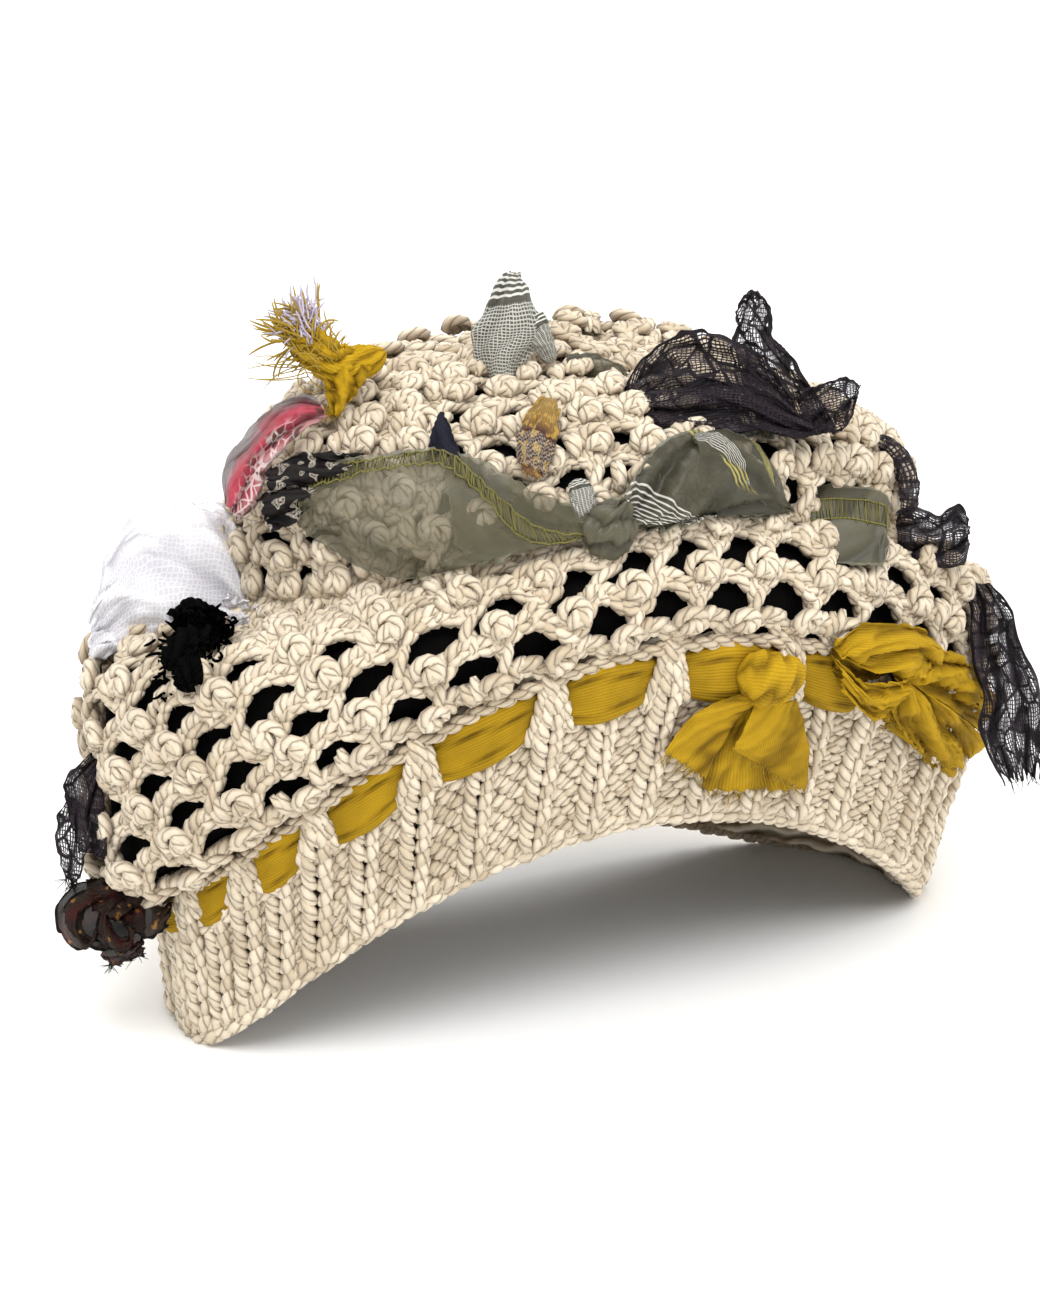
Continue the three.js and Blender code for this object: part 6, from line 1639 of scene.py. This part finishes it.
def cloth_materials():
    threads = thread_group()
    mustard = ((0.085, 0.042, 0.001), (0.50, 0.300, 0.010))
    olive = ((0.052, 0.047, 0.026), (0.19, 0.172, 0.105))
    dark_olive = ((0.026, 0.024, 0.013), (0.115, 0.105, 0.066))
    black = ((0.004, 0.003, 0.004), (0.042, 0.031, 0.040))
    table = {
        "mustard": (*mustard, 0.75, 0.45, 0.4, 0.85, 0.0, None, 0.15),
        "organza": (*dark_olive, 0.5, 0.5, 0.1, 0.38, 0.05, sheer(0.5, 0.9)),
        "organza_folded": (*dark_olive, 0.5, 0.5, 0.1, 0.38, 0.05, sheer(0.86, 1.0)),
        "organza_stitched": (*olive, 0.5, 0.5, 0.1, 0.38, 0.05, sheer(0.22, 0.58)),
        "organza_hem": (*olive, 0.5, 0.5, 0.1, 0.38, 0.05, sheer(0.4, 0.85)),
        "organza_striped": ((0.020, 0.0185, 0.010), (0.090, 0.083, 0.052), 0.5, 0.5, 0.1, 0.38, 0.05, dress_organza_striped),
        "striped": ((0.018, 0.017, 0.012), (0.085, 0.08, 0.06), 0.5, 0.5, 0.25, 0.55, 0.2, dress_striped),
        "lace": (*black, 0.85, 1.3, 0.5, 0.6, 0.0, dress_lace(0.02), 0.15),
        "lace_dense": (*black, 0.9, 1.2, 0.5, 0.6, 0.0, dress_lace(-0.12), 0.15),
        "tuft": ((0.0006, 0.0006, 0.0006), (0.004, 0.004, 0.004), 0.7, 0.5, 1.0, 1.0, 0.0, None, 0.02),
        "rosette": ((0.004, 0.0022, 0.0016), (0.032, 0.018, 0.013), 0.5, 0.5, 0.3, 0.55, 0.0, dress_rosette, 0.12),
        "tulle": ((0.78, 0.76, 0.82), (0.97, 0.96, 0.99), 0.7, 0.7, 0.1, 0.6, 0.0, dress_tulle),
        "pink": ((0.2, 0.05, 0.06), (0.5, 0.1, 0.14), 0.5, 0.5, 0.3, 0.5, 0.2, dress_pink),
        "print": ((0.002, 0.0015, 0.0015), (0.016, 0.013, 0.013), 0.5, 0.5, 0.3, 0.42, 0.0, dress_print, 0.12),
        "navy": ((0.003, 0.003, 0.006), (0.018, 0.018, 0.030), 0.5, 0.5, 0.4, 0.8, 0.0, None, 0.1),
        "woven": ((0.2, 0.12, 0.04), (0.5, 0.3, 0.1), 0.9, 0.9, 0.8, 0.6, 0.1, dress_woven),
        "hem_yarn": ((0.16, 0.14, 0.03), (0.52, 0.47, 0.13), 0.6, 0.5, 0.3, 0.7, 0.1, None),
        "lavender": ((0.50, 0.43, 0.52), (0.90, 0.86, 0.92), 0.6, 0.5, 0.3, 0.7, 0.1, None),
        "gold_thread": ((0.35, 0.22, 0.01), (0.80, 0.55, 0.06), 0.6, 0.5, 0.3, 0.8, 0.1, None),
    }
    return {name: cloth_material(name + "_cloth", threads, *values) for name, values in table.items()}


MATERIALS = {}


# ---- Settings, operators and panel ----

class CapYarnSettings(bpy.types.PropertyGroup):
    light: FloatVectorProperty(name="Light yarn", description="Colour of the yarn's crests",
                               subtype="COLOR", size=3, min=0, max=1, default=(0.82, 0.715, 0.555))
    mid: FloatVectorProperty(name="Mid yarn", description="Colour of the yarn's darker tufts",
                             subtype="COLOR", size=3, min=0, max=1, default=(0.56, 0.455, 0.315))
    # Painted shade colour: between plies, on the strands' inner sides and between the band's inner rows
    groove_shade: FloatVectorProperty(name="Groove Shade", description="Colour between plies",
                                subtype="COLOR", size=3, min=0, max=1, default=(0.18, 0.11, 0.055))
    sides: IntProperty(name="Sides", description="Sides of a net strand", default=6, min=5, max=12)


class CapStageSettings(bpy.types.PropertyGroup):
    azimuth: FloatProperty(name="Azimuth", description="Where the camera stands round the cap",
                           subtype="ANGLE", default=math.radians(SIGHT_AZIMUTH))
    elevation: FloatProperty(name="Elevation", description="How high the camera looks from",
                             subtype="ANGLE", default=math.radians(SIGHT_ELEVATION))
    distance: FloatProperty(name="Distance", description="From the camera to the cap's middle",
                            unit="LENGTH", default=EYE_DISTANCE * MM)
    lens: FloatProperty(name="Lens", description="Focal length in millimetres", default=92.3)


class CAP_OT_materials(bpy.types.Operator):
    """Make the yarn, lining and cloth materials"""
    bl_idname = "cap.materials"
    bl_label = "Materials"

    def execute(self, context):
        yarn = context.scene.cap_yarn
        MATERIALS["yarn"] = yarn_material(tuple(yarn.light), tuple(yarn.mid), tuple(yarn.groove_shade), ply_group())
        MATERIALS["inner_knit"] = inner_knit_material(tuple(yarn.light), tuple(yarn.mid), tuple(yarn.groove_shade))
        MATERIALS["lining"] = lining_material()
        MATERIALS.update(cloth_materials())
        return {"FINISHED"}


class CAP_OT_band(bpy.types.Operator):
    """Knit the ribbed band with its loops"""
    bl_idname = "cap.band"
    bl_label = "Ribbed band"

    def execute(self, context):
        strands = Strands(11)
        add_band(strands)
        strands.piece("rib_stitches", MATERIALS["yarn"], "yarn", ["rib_band"])
        ribs = np.sort(np.concatenate(rib_angles()))
        ribs = np.concatenate([[ribs[-1] - TURN], ribs, [ribs[0] + TURN]])
        phase = lambda a: np.interp(a, ribs, np.arange(len(ribs)))
        wrap_band("band_wall", lambda a: 1.5 + 0 * a, lambda a: SURFACE.length_at(a, COLLAR) - 0.5,
                  lambda a, s: -3.2 - 1.1 * np.cos(TURN * phase(a)), lambda a, s: -0.4 + 0 * a,
                  MATERIALS["inner_knit"], ["rib_band"])
        return {"FINISHED"}


class CAP_OT_crown(bpy.types.Operator):
    """Crochet the openwork crown"""
    bl_idname = "cap.crown"
    bl_label = "Openwork crown"

    def execute(self, context):
        sides = context.scene.cap_yarn.sides
        rows, cells = net_cells()
        groups = {
            "net_front": [c for c in cells if c[0] < LOWER_ROWS and c[3] > math.pi],
            "net_back": [c for c in cells if c[0] < LOWER_ROWS and c[3] <= math.pi],
            "net_top_front": [c for c in cells if c[0] >= LOWER_ROWS and c[3] > math.pi],
            "net_top_back": [c for c in cells if c[0] >= LOWER_ROWS and c[3] <= math.pi],
        }
        for seed, (name, held) in enumerate(groups.items()):
            strands = Strands(20 + seed)
            add_net(strands, held, sides - ("back" in name))
            strands.piece(name, MATERIALS["yarn"], "yarn", ["crown_net"])
        return {"FINISHED"}


class CAP_OT_lining(bpy.types.Operator):
    """Sew in the black lining"""
    bl_idname = "cap.lining"
    bl_label = "Lining"

    def execute(self, context):
        bm = bmesh.new()
        bmesh.ops.create_grid(bm, x_segments=96, y_segments=24, size=1.0, calc_uvs=False)
        co = np.array([v.co for v in bm.verts])
        angle = (co[:, 0] + 1) / 2 * TURN
        share = (co[:, 1] + 1) / 2
        foot, top = SURFACE.length_at(angle, 2.15), SURFACE.length_at(angle, float(TOP_LEVEL))
        point, _ = SURFACE.place(angle, foot + (top - foot) * share, -4.2)
        point[share > 0.9999] = point[share > 0.9999].mean(axis=0)
        for vertex, place in zip(bm.verts, point * MM):
            vertex.co = place
        bmesh.ops.remove_doubles(bm, verts=bm.verts, dist=1e-5)
        bmesh.ops.recalc_face_normals(bm, faces=bm.faces)
        mesh = bpy.data.meshes.new("lining_cloth")
        bm.to_mesh(mesh)
        bm.free()
        mesh.shade_smooth()
        piece = settle("lining_cloth", mesh, MATERIALS["lining"], ["lining"])
        wall = piece.modifiers.new("Wall", "SOLIDIFY")
        wall.thickness = 0.0011
        wall.offset = 0
        return {"FINISHED"}


class CAP_OT_ribbon(bpy.types.Operator):
    """Thread the mustard ribbon through the channel"""
    bl_idname = "cap.ribbon"
    bl_label = "Ribbon"

    def execute(self, context):
        add_ribbon()
        return {"FINISHED"}


class CAP_OT_cloths(bpy.types.Operator):
    """Tie on the knots, tails, bows, tulle and scraps"""
    bl_idname = "cap.cloths"
    bl_label = "Tied-on cloths"

    def execute(self, context):
        cloths = {}
        for seed, row in enumerate(SHEETS):
            cloths[row["name"]] = add_sheet(row, 100 + seed)
        for seed, row in enumerate(BUNDLES):
            add_bundle(row, 200 + seed)
        hems = Strands(31)
        add_hem(hems, cloths["organza_tail"], TAIL_HEM, 1.7, 1.25)
        add_hem(hems, cloths["organza_strap"], STRAP_HEM, 3.2, 1.1)
        hems.piece("overlock_stitches", MATERIALS["hem_yarn"], "organza", ["organza_tail", "organza_strap"])
        for seed, row in enumerate(TUFTS):
            threads = Strands(60 + seed)
            add_tuft(threads, row)
            threads.piece(row["name"] + "_threads", MATERIALS[row["look"]], row["slot"], [row["node"]])
        torn = {}
        for name, cloth in cloths.items():
            if any(cloth.row.get("fray", ())):
                slot = LOOK_SLOTS[cloth.row["look"]]
                torn.setdefault(slot, []).append(cloth)
        for seed, (slot, group) in enumerate(torn.items()):
            threads = Strands(40 + seed)
            for cloth in group:
                add_fray(threads, cloth, 34, 3.2)
            look = group[0].row["look"]
            threads.piece(slot + "_threads", MATERIALS["gold_thread" if look == "mustard" else look], slot,
                          sorted({cloth.row["node"] for cloth in group}))
        return {"FINISHED"}


class CAP_OT_stage(bpy.types.Operator):
    """Set the floor, lights and camera"""
    bl_idname = "cap.stage"
    bl_label = "Stage"

    def execute(self, context):
        scene = context.scene
        stage = scene.cap_stage
        bpy.ops.mesh.primitive_plane_add(size=6)
        floor = context.object
        floor.name = "floor"
        material, tree, shader = new_material("pale_floor")
        shader.inputs["Base Color"].default_value = (0.95, 0.95, 0.94, 1)
        shader.inputs["Roughness"].default_value = 0.9
        floor.data.materials.append(material)
        towards = Vector((math.sin(stage.azimuth) * math.cos(stage.elevation),
                          -math.cos(stage.azimuth) * math.cos(stage.elevation), math.sin(stage.elevation)))
        pivot = Vector(SIGHT_PIVOT * MM)
        camera = bpy.data.objects.new("camera", bpy.data.cameras.new("camera"))
        camera.data.lens = stage.lens
        camera.data.sensor_width = 36
        camera.location = pivot + towards * stage.distance
        camera.rotation_euler = towards.to_track_quat("Z", "Y").to_euler()
        scene.collection.objects.link(camera)
        scene.camera = camera
        for name, place, size, power in (("key", (-0.5, -0.8, 1.8), 1.2, 31), ("fill", (1.3, -1.0, 0.9), 1.4, 11),
                                         ("back", (0.2, 1.3, 1.3), 1.2, 15)):
            light = bpy.data.lights.new(name, "AREA")
            light.shape = "SQUARE"
            light.size = size
            light.energy = power
            lamp = bpy.data.objects.new(name, light)
            lamp.location = place
            lamp.rotation_euler = (Vector(place) - pivot).to_track_quat("Z", "Y").to_euler()
            scene.collection.objects.link(lamp)
        world = bpy.data.worlds.new("studio")
        world.use_nodes = True
        world.node_tree.nodes["Background"].inputs["Color"].default_value = (1, 1, 1, 1)
        world.node_tree.nodes["Background"].inputs["Strength"].default_value = 0.68
        scene.world = world
        scene.view_settings.view_transform = "Standard"
        return {"FINISHED"}


class CAP_PT_panel(bpy.types.Panel):
    """Shows the cap's settings and its operator buttons"""
    bl_idname = "CAP_PT_panel"
    bl_label = "Crochet cap"
    bl_space_type = "VIEW_3D"
    bl_region_type = "UI"
    bl_category = "Cap"

    def draw(self, context):
        for settings in (context.scene.cap_yarn, context.scene.cap_stage):
            for name in settings.__annotations__:
                self.layout.prop(settings, name)
        for operator in OPERATORS:
            self.layout.operator(operator.bl_idname)


OPERATORS = (CAP_OT_materials, CAP_OT_stage, CAP_OT_band, CAP_OT_crown, CAP_OT_lining, CAP_OT_ribbon,
             CAP_OT_cloths)
CLASSES = (CapYarnSettings, CapStageSettings, *OPERATORS, CAP_PT_panel)


def register():
    for cls in CLASSES:
        bpy.utils.register_class(cls)
    bpy.types.Scene.cap_yarn = PointerProperty(type=CapYarnSettings)
    bpy.types.Scene.cap_stage = PointerProperty(type=CapStageSettings)


def unregister():
    del bpy.types.Scene.cap_yarn
    del bpy.types.Scene.cap_stage
    for cls in reversed(CLASSES):
        bpy.utils.unregister_class(cls)


def main():
    register()
    for operator in OPERATORS:
        getattr(bpy.ops.cap, operator.bl_idname.split(".")[1])()


if __name__ == "__main__":
    main()
